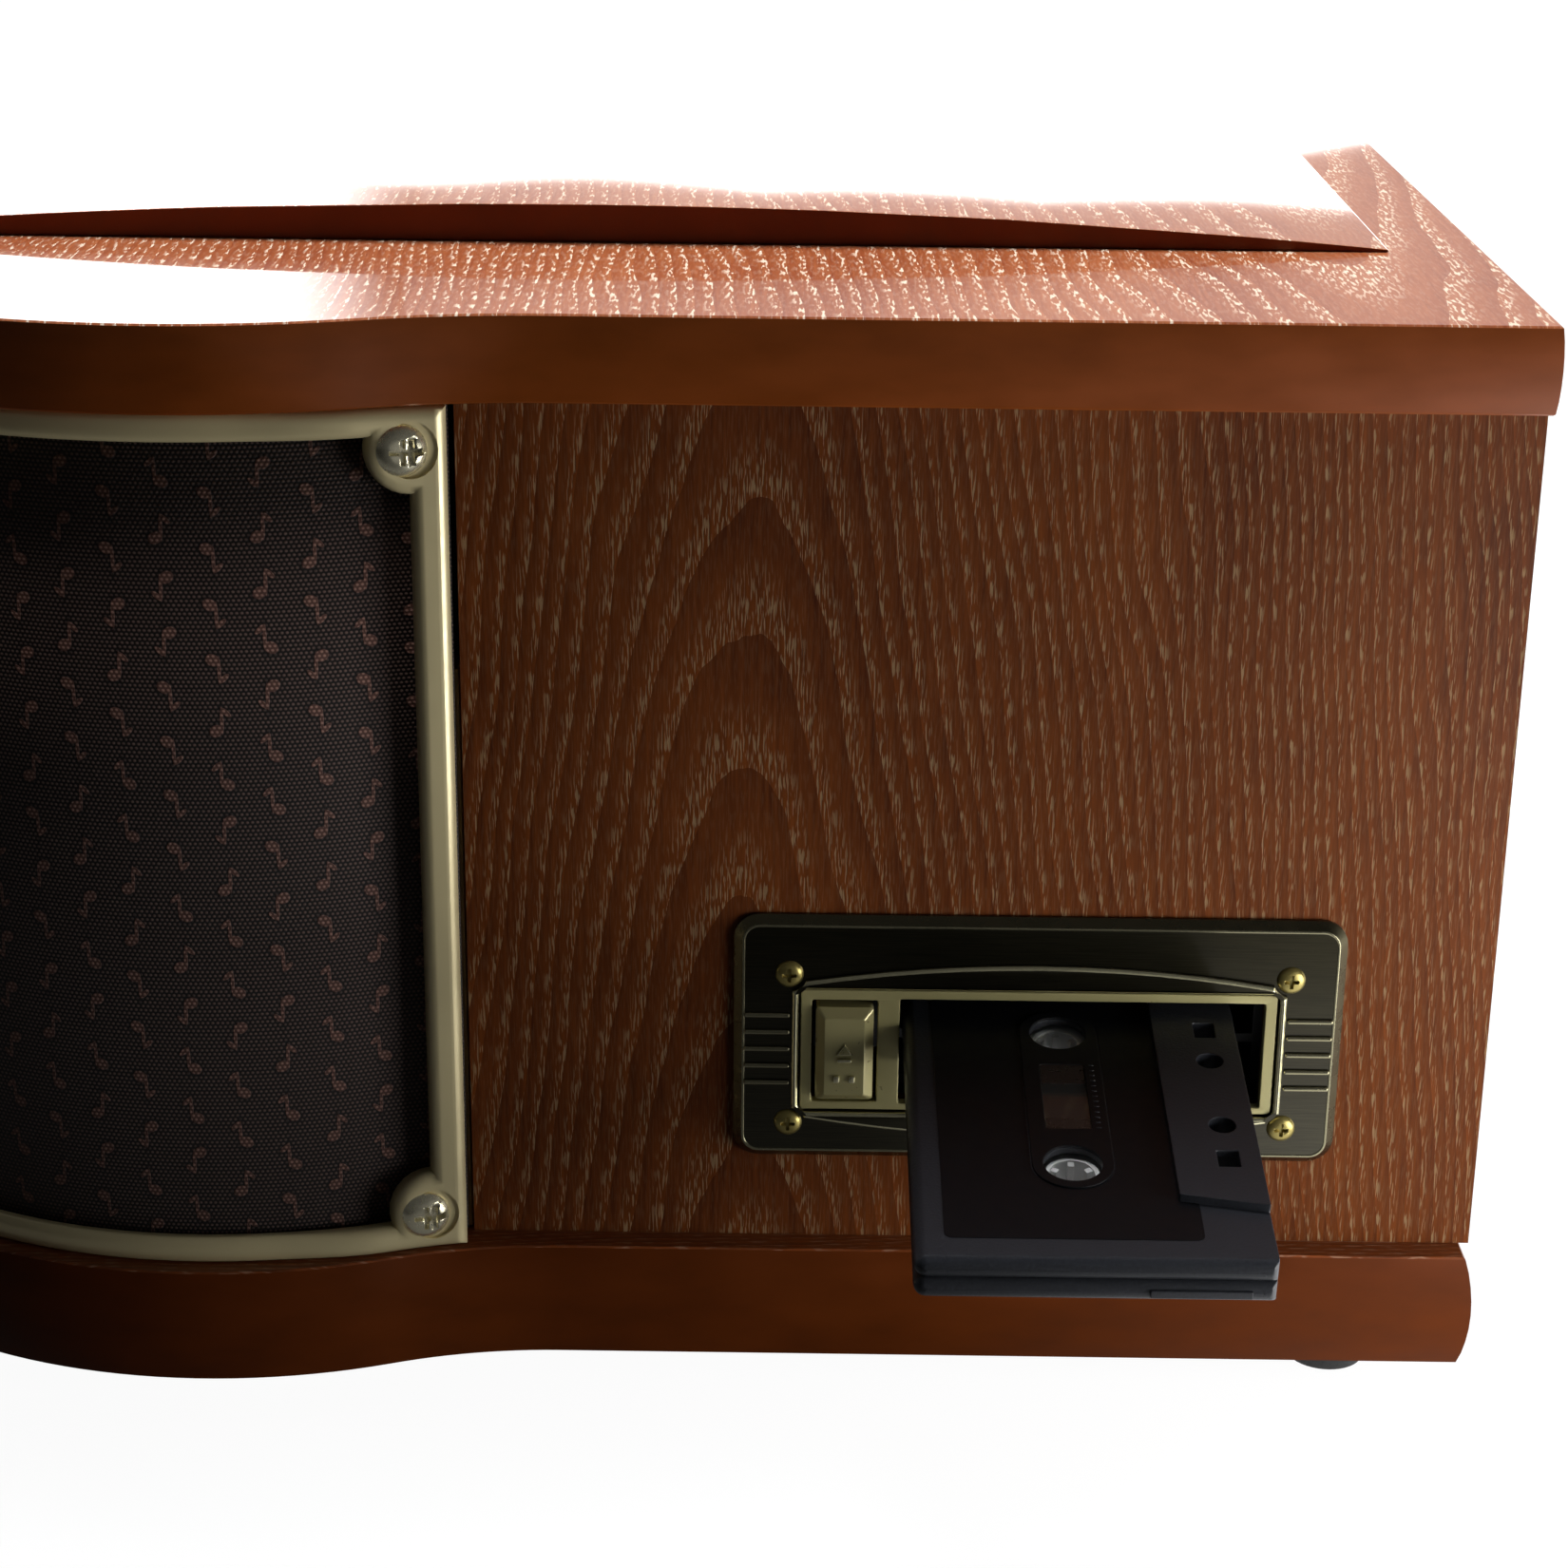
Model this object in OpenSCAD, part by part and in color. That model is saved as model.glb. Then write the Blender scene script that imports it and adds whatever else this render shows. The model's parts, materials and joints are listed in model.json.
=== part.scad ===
// Retro wooden stereo music centre: radio, turntable, compact disc drawer and a cassette deck in its side.
// X runs across the cabinet, Y to its rear and Z up. The origin is the middle of the whole box, on the floor.
// Heights on the front and the sides are counted from the top face of the base board.

/* [Cabinet] */
// Width over the two side panels
cabinet_w = 480; // [460:5:560]
// Height of the side panels
side_h = 171; // [166:1:200]
// Thickness of the base board
base_t = 24; // [14:1:34]
// How far the base and the lid stand out past the sides and the front
overhang = 8; // [7:0.5:12]
// Thickness of the side panels
panel_t = 12; // [9:0.5:14]
// Thickness of the rear panel
rear_t = 9; // [5:0.5:9]
// Radius of the two rounded front corners
corner_r = 97; // [90:1:104]
// Distance from the rear to the centre of a front corner
corner_y = 252; // [246:1:275]
// How far a front corner stands out past its side panel
flare = 12.8; // [9:0.2:16]
// Radius of the hollow curve between side panel and corner
flare_r = 100; // [80:1:130]
// Radius of the bowed front
bow_r = 1300; // [1100:20:2000]
// Height of a foot
foot_h = 8; // [5:0.5:16]
// Radius of a foot
foot_r = 10; // [7:0.5:14]
// Distance from a side panel's face to a foot's centre
foot_in = 12; // [11:0.5:20]
// Distance from the rear to a rear foot's centre
foot_rear = 25; // [16:1:60]

/* [Lid] */
// Thickness of the lid board
lid_t = 16.3; // [12:0.1:24]
// Seam between the cabinet and the closed lid
lid_seam = 0.4; // [0.3:0.05:1]
// Rise of the bowed panel on the lid
crown_h = 7.6; // [4:0.2:14]
// Thickness of the bowed panel at its ends
crown_edge = 0.6; // [0.4:0.1:2]
// Distance from a side panel's face to the bowed panel
crown_in = 61; // [40:1:100]
// Distance from the rear to the bowed panel
crown_rear = 20; // [10:1:40]
// Length of the bowed panel
crown_len = 320; // [260:5:325]
// Distance from the middle to each hinge
hinge_x = 150; // [90:1:180]
// Width of a hinge
hinge_w = 40; // [30:1:60]
// Height of a hinge leaf
leaf_h = 14; // [9:0.5:15]
// Thickness of a hinge leaf
leaf_t = 1.2; // [0.9:0.1:2]
// Radius of a hinge knuckle
knuckle_r = 2.6; // [2.2:0.1:3.4]
// Radius of a hinge pin
pin_r = 1.25; // [0.9:0.05:1.5]

/* [Speakers] */
// Distance from the rear to the speaker grille's frame
grille_y = 201; // [196:1:208]
// How far the grille's frame stands out past the cabinet's outline
grille_out = 6; // [4:0.5:6.5]
// Width of the upright bars of the grille's frame
grille_bar = 4.6; // [3:0.2:8]
// Height of the rails of the grille's frame
grille_rail = 7; // [4:0.2:12]
// Radius of the screw ears in the frame's corners
ear_r = 8.6; // [6:0.2:12]
// Distance from the frame's edges to a screw
ear_in = 8.2; // [6.5:0.1:12]
// Thickness of the speaker cloth on its backing
cloth_t = 2; // [1:0.1:3]
// Distance from the rear to a speaker's board
baffle_y = 300; // [290:1:310]
// Thickness of a speaker's board
baffle_t = 9; // [6:0.5:12]
// Outer radius of a speaker's basket
driver_r = 46; // [38:0.5:48]
// Depth of a speaker behind its board
driver_d = 42; // [36:1:60]
// Radius of a panel screw's head
screw_r = 4.8; // [3.2:0.1:5.4]
// Height of a panel screw's head
screw_h = 2.2; // [1.2:0.1:3]
// Radius of a panel screw's shank
shank_r = 1.7; // [1.2:0.1:2.2]

/* [Turntable] */
// Depth of the turntable well below the cabinet's top
well_d = 50; // [46:1:56]
// Thickness of the deck plate
deck_t = 3; // [2:0.5:5]
// Thickness of the well's lining
liner_t = 4; // [3:0.5:6]
// Radius of the platter
platter_r = 142; // [125:1:148]
// Platter's distance left of the middle
platter_x = 48; // [44:1:60]
// Platter's distance from the rear
platter_y = 176; // [168:1:182]
// Height of the platter above the deck
platter_h = 12; // [11:0.5:15]
// Thickness of the mat
mat_t = 2.5; // [1:0.1:4]
// Radius of the record spindle
spindle_r = 3.6; // [3.5:0.02:3.8]
// Height of the spindle above the mat
spindle_up = 11.5; // [9:0.5:18]
// Radius of the platter's inner rim, which the belt runs on
drive_r = 60; // [45:1:70]
// Radius of the motor's pulley
pulley_r = 5; // [4:0.1:8]
// Distance from the platter's centre to the motor
motor_d = 95; // [88:1:110]
// Radius of the drive motor
motor_r = 17; // [12:0.5:20]
// Height of the drive motor
motor_h = 22; // [14:1:30]
// Thickness of the drive belt
belt_t = 0.6; // [0.4:0.05:1]
// Width of the drive belt
belt_w = 5; // [3:0.1:6]

/* [Tonearm] */
// Tonearm pivot's distance right of the middle
arm_x = 152; // [146:1:160]
// Distance from the rear to the stylus when the tonearm is at rest
stylus_y = 317; // [308:1:320]
// Height of the tonearm above the deck
arm_z = 33; // [32:0.5:35]
// Distance from the pivot to the stylus
arm_len = 237; // [225:1:240]
// Radius of the arm's tube
tube_r = 4; // [3:0.1:5]
// Radius of the counterweight
weight_r = 12; // [9:0.5:13]
// Length of the counterweight
weight_l = 22; // [14:1:26]
// Radius of the arm's base
arm_base_r = 22; // [19:0.5:24]

/* [Cassette deck] */
// Width of the brass plate's ribbed ends
plate_end = 11.35; // [10:0.05:13]
// Height of the brass plate
plate_h = 51.6; // [46:0.2:60]
// Corner radius of the brass plate
plate_r = 5; // [2:0.5:8]
// Thickness of the brass plate
plate_t = 2.4; // [1.6:0.1:4]
// Distance from the rear to the plate's centre
plate_y = 88.3; // [84:0.1:100]
// Height of the plate's centre
plate_z = 44.1; // [40:0.1:48]
// Width of the plate's raised inner frame beside the trim
frame_bar = 1.7; // [1.4:0.1:3]
// Height of the plate's raised inner frame
frame_h = 29.4; // [28:0.2:34]
// How far the inner frame is raised
frame_up = 1.2; // [0.6:0.1:2]
// Height of the trim
trim_h = 25.6; // [25.2:0.1:27]
// Width of the cassette slot
slot_w = 71; // [69:0.5:76]
// Height of the cassette slot
slot_h = 22.3; // [20:0.1:22.6]
// Width of the key's window
key_w = 14; // [10:0.5:15]
// Distance the key travels
key_travel = 3; // [2:0.5:5]
// Length of the cassette
tape_l = 100.4; // [98:0.2:102]
// Width of the cassette
tape_w = 63.8; // [62:0.2:65]
// Thickness of the cassette
tape_t = 8.7; // [8:0.1:9.5]
// How much the cassette's head end is thicker on each face
tape_step = 1.7; // [1:0.1:2]
// How far the cassette stands out of the slot
tape_out = 78.3; // [60:0.5:80]
// Slope of the cassette in the slot
tape_tilt = 8.8; // [4:0.2:10]
// Distance between the cassette's hubs
hub_gap = 42.5; // [40:0.1:44]

/* [Front panel] */
// Width of the front panel between the grilles
fascia_w = 249; // [244:1:256]
// Thickness of the front panel
fascia_t = 5; // [3:0.5:6]
// Width of the disc drawer's front
drawer_w = 142; // [138:1:150]
// Height of the disc drawer's front
drawer_h = 21; // [20:0.5:24]
// How far the disc drawer opens
drawer_travel = 135; // [100:5:138]
// Radius of the disc's recess
disc_r = 60.5; // [60:0.1:61]
// Width of the tuning dial's window
dial_w = 144; // [120:1:150]
// Height of the tuning dial's window
dial_h = 44; // [32:1:48]
// Distance the dial's pointer travels each way
pointer_travel = 55; // [40:1:56]
// Distance from the middle to the tuning and the volume knob
knob_x = 99; // [97:0.5:102]
// Radius of the tuning and the volume knob
knob_r = 16; // [12:0.5:18]
// Height of a knob off the panel
knob_h = 15; // [10:0.5:22]
// Distance that a button travels
button_travel = 2.5; // [1.5:0.1:3]
// Radius of the headphone socket's hole
jack_r = 3.2; // [3.15:0.01:3.3]

/* [Hidden] */
$fn = 96;

// Facets of the very large arcs
arc_fn = 240;
// Small clearances: between fixed pieces, round a running shaft and round a pressed pin
gap = 0.3;
run = 0.05;
press = 0.02;
// Past any piece, for cuts that go right through
past = 1;
far = 700;

half_w = cabinet_w / 2;
panel_z = foot_h + base_t;
top_z = panel_z + side_h;
lid_z = top_z + lid_seam;
deck_z = top_z - well_d;
under_deck = deck_z - deck_t;
post_h = side_h - well_d - deck_t;

// Heights of the front's rows: low controls, dial, disc drawer and disc buttons
low_z = side_h / 9;
dial_z = side_h * 5 / 14;
drawer_z = side_h * 3 / 5;
button_z = side_h * 6 / 7;
driver_z = post_h / 2;

// Widths in the side: the trim holds the slot and the key, the plate's frame holds the trim
slot_rim = 2.3;
key_rim = 1.6;
trim_bar = 3.7;
trim_w = slot_rim + slot_w + trim_bar + key_w + key_rim;
frame_w = trim_w + 2 * frame_bar;
plate_w = frame_w + 2 * plate_end;

// Plan of the cabinet: straight sides, a hollow curve, rounded corners and a bowed front, all tangent
corner_x = half_w + flare - corner_r;
flare_x = half_w + flare_r;
flare_y = corner_y - sqrt(pow(flare_r + corner_r, 2) - pow(flare_r + corner_r - flare, 2));
bow_y = sqrt(pow(bow_r - corner_r, 2) - pow(corner_x, 2)) - corner_y;
bow_reach = (corner_r + 40) / (bow_r - corner_r);

// Where the outline grown by g lies: the front at x, and the hollow of the side at y
function front_at(x, g) = bow_y - sqrt(pow(bow_r + g, 2) - x * x);
function side_at(y, g) = flare_x - sqrt(pow(flare_r - g, 2) - pow(y - flare_y, 2));

// The outline's steps inwards: fascia, cloth, lining
fascia_out = 1;
fascia_back = fascia_out - fascia_t;
cloth_out = -gap;
cloth_back = cloth_out - cloth_t;
liner_out = -panel_t - 0.4;
liner_in = liner_out - liner_t;
rear_in = 1 + rear_t;
// Front end of the side panels
panel_front = grille_y - 1.5;

// The cassette stands out to the right, and the knobs to the front
tape_reach = tape_out * cos(tape_tilt);
low_knob_h = knob_h - 2;
shift_x = (flare + overhang - tape_reach) / 2;
front_reach = max(
  knob_h + gap - front_at(knob_x - knob_r, fascia_out),
  low_knob_h + gap - front_at(0, fascia_out),
  -front_at(0, overhang)
);
hinge_y = knuckle_r + 0.4;
// How far the sockets stand out of the rear
socket_out = 8;
rear_reach = max(hinge_y + knuckle_r, socket_out);
shift_y = (front_reach - rear_reach) / 2;

module place() {
  translate([shift_x, shift_y, 0]) children();
}

module plan(g) {
  difference() {
    union() {
      translate([-half_w - g, -flare_y]) square([cabinet_w + 2 * g, flare_y]);
      polygon([[-corner_x, -corner_y], [corner_x, -corner_y], [flare_x, -flare_y], [-flare_x, -flare_y]]);
      for (s = [-1, 1]) translate([s * corner_x, -corner_y]) circle(corner_r + g);
      intersection() {
        translate([0, bow_y]) circle(bow_r + g, $fn = arc_fn);
        polygon([
          [-corner_x, -corner_y],
          [corner_x, -corner_y],
          [corner_x * (1 + bow_reach), -corner_y - (corner_y + bow_y) * bow_reach],
          [-corner_x * (1 + bow_reach), -corner_y - (corner_y + bow_y) * bow_reach]
        ]);
      }
    }
    for (s = [-1, 1]) translate([s * flare_x, -flare_y]) circle(flare_r - g);
  }
}

// A strip between two growths of the outline
module strip(outer, inner) {
  difference() {
    plan(outer);
    plan(inner);
  }
}

// Everything right of x and in front of y
module ahead(x, y) {
  translate([x, -far]) square([far, far - y]);
}

// A box through the front panel, given by its middle and its size
module front_cut(x, z, w, h) {
  translate([x - w / 2, -far, panel_z + z - h / 2]) cube([w, far - baffle_y, h]);
}

// The room inside: between the side panels and up to the outline's growth g, and clear of the rear panel
module room(g) {
  intersection() {
    plan(g);
    union() {
      translate([-half_w + panel_t + gap, -far]) square([cabinet_w - 2 * panel_t - 2 * gap, far - rear_in - gap]);
      translate([-far / 2, -far]) square([far, far - panel_front - gap]);
    }
  }
}

// Turns what is drawn along Z to stand out of the front at x and height z, at growth g of the outline
module on_front(x, z, g) {
  translate([x, front_at(x, g), panel_z + z]) rotate([90, 0, 0]) children();
}

// A drawing in the side's plane: its x runs to the rear and its y up, and it is raised outwards
module on_side(out, thick) {
  translate([half_w + out, 0, panel_z]) rotate([90, 0, 90]) linear_extrude(thick) children();
}

module round_box(w, h, r) {
  square([w - 2 * r, h], center = true);
  square([w, h - 2 * r], center = true);
  for (x = [-1, 1], y = [-1, 1]) translate([x * (w / 2 - r), y * (h / 2 - r)]) circle(r);
}

// A cross-slotted screw: its head stands on Z = 0 and its shank points down
module cross_screw(r, h, shank, l) {
  difference() {
    rotate_extrude() polygon([[0, 0], [r, 0], [r, h * 0.3], [r * 0.82, h * 0.75], [r * 0.45, h], [0, h]]);
    for (a = [0, 90]) rotate([0, 0, a]) translate([-r * 0.5, -r * 0.09, h * 0.4]) cube([r, r * 0.18, h]);
  }
  translate([0, 0, -l]) cylinder(l, r = shank);
}

/* Cabinet */
module base_board() color("#5a2a10") place() {
  translate([0, 0, foot_h]) linear_extrude(base_t) plan(overhang);
}

foot_front = corner_y + corner_r / 2;
module rubber_feet() color("#141414") place() {
  for (x = [-1, 1], y = [foot_rear, foot_front]) translate([x * (half_w - foot_in), -y, 0])
    rotate_extrude() polygon([[0, 0], [foot_r * 0.8, 0], [foot_r, foot_h], [0, foot_h]]);
}

module side_panel() {
  translate([half_w - panel_t, -panel_front, panel_z]) cube([panel_t, panel_front, side_h]);
}

module left_side_panel() color("#7a3c1c") place() {
  mirror([1, 0, 0]) side_panel();
}

// The hole behind the brass plate
slot_z = plate_z - 2.3;
trim_z = slot_z + 0.2;
slot_y = plate_y - trim_w / 2 + slot_rim + slot_w / 2;
key_y = plate_y + trim_w / 2 - key_rim - key_w / 2;
hole_w = trim_w - 1;
hole_h = frame_h + 1;
module right_side_panel() color("#7a3c1c") place() {
  difference() {
    side_panel();
    on_side(-panel_t - past, panel_t + 2 * past)
      translate([-plate_y, plate_z - 3]) square([hole_w, hole_h], center = true);
    plate_screw_places() translate([0, 0, -panel_t]) cylinder(panel_t + past, r = shank_r + press);
  }
}

// Rear panel with vents and the holes for its sockets
rear_half = half_w - panel_t - gap;
vent_w = 60;
vent_h = 4;
rca_r = 4.15;
rca_x = -70;
rca_z = 60;
rca_gap = 18;
inlet_x = 55 - half_w;
inlet_z = 30;
inlet_w = 24;
inlet_h = 16;
rear_screw_z = 7;
module rear_panel() color("#3c2a1e") place() {
  difference() {
    translate([-rear_half, -1 - rear_t, panel_z + gap]) cube([2 * rear_half, rear_t, side_h - 2 * gap]);
    for (x = [-1, 1], z = [0:6]) translate([x * 90 - vent_w / 2, -rear_in - past, panel_z + 92 + z * 9])
      cube([vent_w, rear_t + 2 * past, vent_h]);
    for (x = [0, 1], z = [0, 1]) translate([rca_x + x * rca_gap, 0, panel_z + rca_z - z * rca_gap])
      rotate([90, 0, 0]) cylinder(rear_in + past, r = rca_r + 1);
    translate([inlet_x - inlet_w / 2, -rear_in - past, panel_z + inlet_z - inlet_h / 2])
      cube([inlet_w, rear_in + past, inlet_h]);
    rear_screw_places() translate([0, 0, -rear_in - past]) cylinder(rear_in + past, r = shank_r + press);
  }
}

module rear_screw_places() {
  for (x = [-1, 0, 1], z = [rear_screw_z, side_h - 30]) if (x != 0 || z < 20)
    translate([x * (rear_half - 7), 0, panel_z + z]) rotate([-90, 0, 0]) children();
}

// Frame screws: beside the side panel and beside the front panel, top and bottom
side_screw_y = grille_y + 7;
front_screw_x = fascia_w / 2 + 8;
screw_l = 22;
screw_sink = 0.8;
screw_bore = 40;
module grille_screw_places(z) {
  translate([side_at(side_screw_y, grille_out), -side_screw_y, panel_z + z])
    rotate([0, 90, asin((side_screw_y - flare_y) / (flare_r - grille_out))]) children();
  translate([front_screw_x, front_at(front_screw_x, grille_out), panel_z + z])
    rotate([0, 90, asin(front_screw_x / (bow_r + grille_out)) - 90]) children();
}

module cabinet_screws() color("#c8c8c8") place() {
  for (m = [0, 1], z = [ear_in, side_h - ear_in]) mirror([m, 0, 0])
    grille_screw_places(z) translate([0, 0, -screw_sink]) cross_screw(screw_r, screw_h, shank_r, screw_l);
  rear_screw_places() translate([0, 0, -1]) cross_screw(screw_r * 0.8, screw_h * 0.8, shank_r, rear_t + 8);
}

// Posts behind the rear corners and behind the grille's screws, which also carry the deck
batten = 18;
module corner_battens() color("#c8a878") place() {
  difference() {
    for (m = [0, 1]) mirror([m, 0, 0]) {
      translate([half_w - panel_t - batten, -rear_in - batten, panel_z]) cube([batten, batten, post_h]);
      translate([half_w - batten, -side_screw_y - 8, panel_z]) cube([batten - 1.5, 16, post_h]);
      translate([front_screw_x - 6, front_at(front_screw_x, cloth_back) + 2, panel_z]) cube([12, 12, post_h]);
    }
    for (m = [0, 1]) mirror([m, 0, 0]) grille_screw_places(ear_in)
      translate([0, 0, -screw_l - 2 * past]) cylinder(screw_l + 2 * past, r = shank_r + press);
    rear_screw_places() translate([0, 0, -rear_in - 12]) cylinder(rear_in + 12, r = shank_r + press);
  }
}

// Painted lining of the turntable well
module well_liner() color("#241a14") place() {
  difference() {
    translate([0, 0, deck_z]) linear_extrude(well_d - gap) difference() {
      room(liner_out);
      plan(liner_in);
    }
    for (m = [0, 1]) mirror([m, 0, 0]) grille_screw_places(side_h - ear_in)
      translate([0, 0, -screw_l - 2 * past]) cylinder(screw_l + 2 * past, r = shank_r + press);
  }
}

/* Speakers */
grille_x = fascia_w / 2 + 0.5;
grille_h = side_h - 2 * gap;
module grille_ears(z) {
  intersection() {
    translate([0, 0, panel_z + gap]) linear_extrude(grille_h) intersection() {
      strip(grille_out, 0);
      ahead(grille_x, grille_y);
    }
    grille_screw_places(z) cylinder(screw_bore, r = ear_r, center = true);
  }
}

module grille_frame() {
  difference() {
    union() {
      difference() {
        translate([0, 0, panel_z + gap]) linear_extrude(grille_h) intersection() {
          strip(grille_out, 0);
          ahead(grille_x, grille_y);
        }
        translate([0, 0, panel_z + gap + grille_rail]) linear_extrude(grille_h - 2 * grille_rail)
          intersection() {
            strip(grille_out + past, -past);
            ahead(grille_x + grille_bar, grille_y + grille_bar);
          }
      }
      for (z = [ear_in, side_h - ear_in]) grille_ears(z);
    }
    for (z = [ear_in, side_h - ear_in]) grille_screw_places(z) {
      cylinder(screw_bore, r = shank_r + press, center = true);
      translate([0, 0, -screw_sink]) cylinder(screw_h + 2, r = screw_r + gap);
    }
  }
}

module left_grille_frame() color("#c8c3a0") place() {
  mirror([1, 0, 0]) grille_frame();
}

module right_grille_frame() color("#c8c3a0") place() {
  grille_frame();
}

module grille_cloth() {
  difference() {
    translate([0, 0, panel_z + 1]) linear_extrude(side_h - 2) intersection() {
      strip(cloth_out, cloth_back);
      ahead(grille_x + gap, panel_front + gap);
    }
    for (z = [ear_in, side_h - ear_in]) grille_screw_places(z)
      cylinder(screw_bore, r = shank_r + press, center = true);
  }
}

module left_grille_cloth() color("#2a1d16") place() {
  mirror([1, 0, 0]) grille_cloth();
}

module right_grille_cloth() color("#2a1d16") place() {
  grille_cloth();
}

// Speaker boards, with a hole for the basket
baffle_l = grille_x + 2;
baffle_r = corner_x + sqrt(pow(corner_r + cloth_back, 2) - pow(baffle_y + baffle_t - corner_y, 2)) - 2;
driver_x = (baffle_l + baffle_r) / 2;
driver_hole = driver_r - 7;
module speaker_baffles() color("#b89468") place() {
  for (m = [0, 1]) mirror([m, 0, 0]) difference() {
    translate([baffle_l, -baffle_y - baffle_t, panel_z]) cube([baffle_r - baffle_l, baffle_t, post_h]);
    translate([driver_x, -baffle_y + past, panel_z + driver_z]) rotate([90, 0, 0])
      cylinder(baffle_t + 2 * past, r = driver_hole);
  }
}

// Draws along Z, out of the front of each speaker board
module driver_places() {
  for (m = [0, 1]) mirror([m, 0, 0])
    translate([driver_x, -baffle_y - baffle_t, panel_z + driver_z]) rotate([90, 0, 0]) children();
}

basket_r = driver_hole - 0.8;
magnet_r = driver_r * 0.6;
module speaker_frames() color("#3a3a3c") place() driver_places() {
  rotate_extrude() polygon([
    [basket_r - 2, 3], [driver_r, 3], [driver_r, 0], [basket_r, 0], [magnet_r - 4, 14 - driver_d],
    [magnet_r, 14 - driver_d], [magnet_r, -driver_d], [0, -driver_d], [0, 15 - driver_d],
    [magnet_r - 6, 15 - driver_d], [basket_r - 2, 0]
  ]);
}

module speaker_cones() color("#1c1a18") place() driver_places() {
  rotate_extrude() polygon([
    [basket_r - 2 - gap, 1], [basket_r - 2 - gap, 2.2], [basket_r - 6, 3], [basket_r - 9, 1.5], [10, -14],
    [0, -11], [0, -13], [9, -16], [basket_r - 9.5, -0.5], [basket_r - 6, 1.4]
  ]);
}

/* Lid */
module lid_board() color("#5a2a10") place() {
  translate([0, 0, lid_z]) linear_extrude(lid_t) plan(overhang);
}

crown_w = cabinet_w - 2 * crown_in;
crown_rise = crown_h - crown_edge;
crown_r = (pow(crown_len / 2, 2) + pow(crown_rise, 2)) / (2 * crown_rise);
module lid_crown() color("#8a5540") place() {
  translate([-crown_w / 2, -crown_rear - crown_len / 2, lid_z + lid_t]) rotate([90, 0, 90])
    linear_extrude(crown_w) intersection() {
      translate([0, crown_h - crown_r]) circle(crown_r, $fn = 4 * arc_fn);
      translate([-crown_len / 2, 0]) square([crown_len, crown_h + past]);
    }
}

// Hinges: their axis lies behind the seam between cabinet and lid
hinge_z = top_z + lid_seam / 2;
mid_l = hinge_w * 0.38;
module hinge_places() {
  for (x = [-1, 1]) translate([x * hinge_x, 0, hinge_z]) children();
}

module along_x(l, r) {
  translate([-l / 2, hinge_y, 0]) rotate([0, 90, 0]) cylinder(l, r = r);
}

module hinge_cabinet_leaves() color("#b09048") place() hinge_places() {
  difference() {
    union() {
      translate([-hinge_w / 2, -1, -leaf_h]) cube([hinge_w, leaf_t + 0.6, leaf_h - 0.5]);
      along_x(hinge_w, knuckle_r);
    }
    along_x(hinge_w + past, pin_r + press);
    translate([-mid_l / 2 - gap, -0.8, -knuckle_r - gap])
      cube([mid_l + 2 * gap, 2 * knuckle_r + 4, 2 * knuckle_r + 2 * gap]);
  }
}

module hinge_lid_leaves() color("#b09048") place() hinge_places() {
  difference() {
    union() {
      translate([-hinge_w / 2, 0, knuckle_r + 0.8]) cube([hinge_w, leaf_t, leaf_h - knuckle_r - 0.8]);
      translate([-mid_l / 2, 0, 0.4]) cube([mid_l, leaf_t, leaf_h - 0.4]);
      along_x(mid_l, knuckle_r);
    }
    along_x(hinge_w + past, pin_r + run);
  }
}

module hinge_pins() color("#8c7438") place() hinge_places() {
  along_x(hinge_w + 1, pin_r);
  for (s = [-1, 1]) translate([s * (hinge_w / 2 + 0.9), 0, 0]) along_x(1, pin_r + 0.6);
}

/* Turntable */
motor_x = -platter_x - motor_d * cos(45);
motor_y = -platter_y + motor_d * sin(45);
shaft_r = 1;
switch_x = 184;
speed_y = 150;
module at_deck(x, y) {
  translate([x, y, deck_z]) children();
}

// The arm's rest is moulded onto the deck. The clip on it is open towards the platter
arm_y = stylus_y - arm_len;
rest_d = 150;
rest_z = arm_z - tube_r - gap;
rest_w = 7;
clip_x = tube_r + gap;
module deck_plate() color("#1e1e20") place() {
  difference() {
    translate([0, 0, under_deck]) linear_extrude(deck_t) room(liner_out);
    at_deck(-platter_x, -platter_y) translate([0, 0, -deck_t - past]) cylinder(2 * deck_t, r = journal_r + press);
    at_deck(motor_x, motor_y) translate([0, 0, -deck_t - past]) cylinder(2 * deck_t, r = shaft_r + 2);
    at_deck(arm_x, -arm_y) translate([0, 0, -deck_t - past]) cylinder(2 * deck_t, r = 5);
    at_deck(switch_x, -speed_y) translate([0, 0, -deck_t - past]) cylinder(2 * deck_t, r = 3 + run);
  }
  at_deck(arm_x, -arm_y - rest_d) {
    translate([9, 0, 0]) cylinder(rest_z, r = rest_w / 2);
    translate([-5, -rest_w / 2, rest_z - 3]) cube([14, rest_w, 3]);
  }
}

module arm_clip() color("#1e1e20") place() at_deck(arm_x, -arm_y - rest_d) {
  translate([clip_x, -rest_w / 2, rest_z]) cube([4.5, rest_w, tube_r]);
}

hub_h = 2;
journal_r = spindle_r + 1.4;
mat_top = platter_h + mat_t;
label_r = 50;
rim_t = 5;
module platter() color("#a8a8aa") place() at_deck(-platter_x, -platter_y) {
  rotate_extrude() polygon([
    [journal_r + run, hub_h], [12, hub_h], [12, platter_h - 3], [drive_r - 3, platter_h - 3],
    [drive_r - 3, hub_h], [drive_r, hub_h], [drive_r, platter_h - 3], [platter_r - rim_t, platter_h - 3],
    [platter_r - rim_t, 3], [platter_r, 3], [platter_r, platter_h + 0.5], [platter_r - 1.5, platter_h + 2],
    [platter_r - 3, platter_h + 2], [platter_r - 4, platter_h], [journal_r + run, platter_h]
  ]);
}

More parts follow.
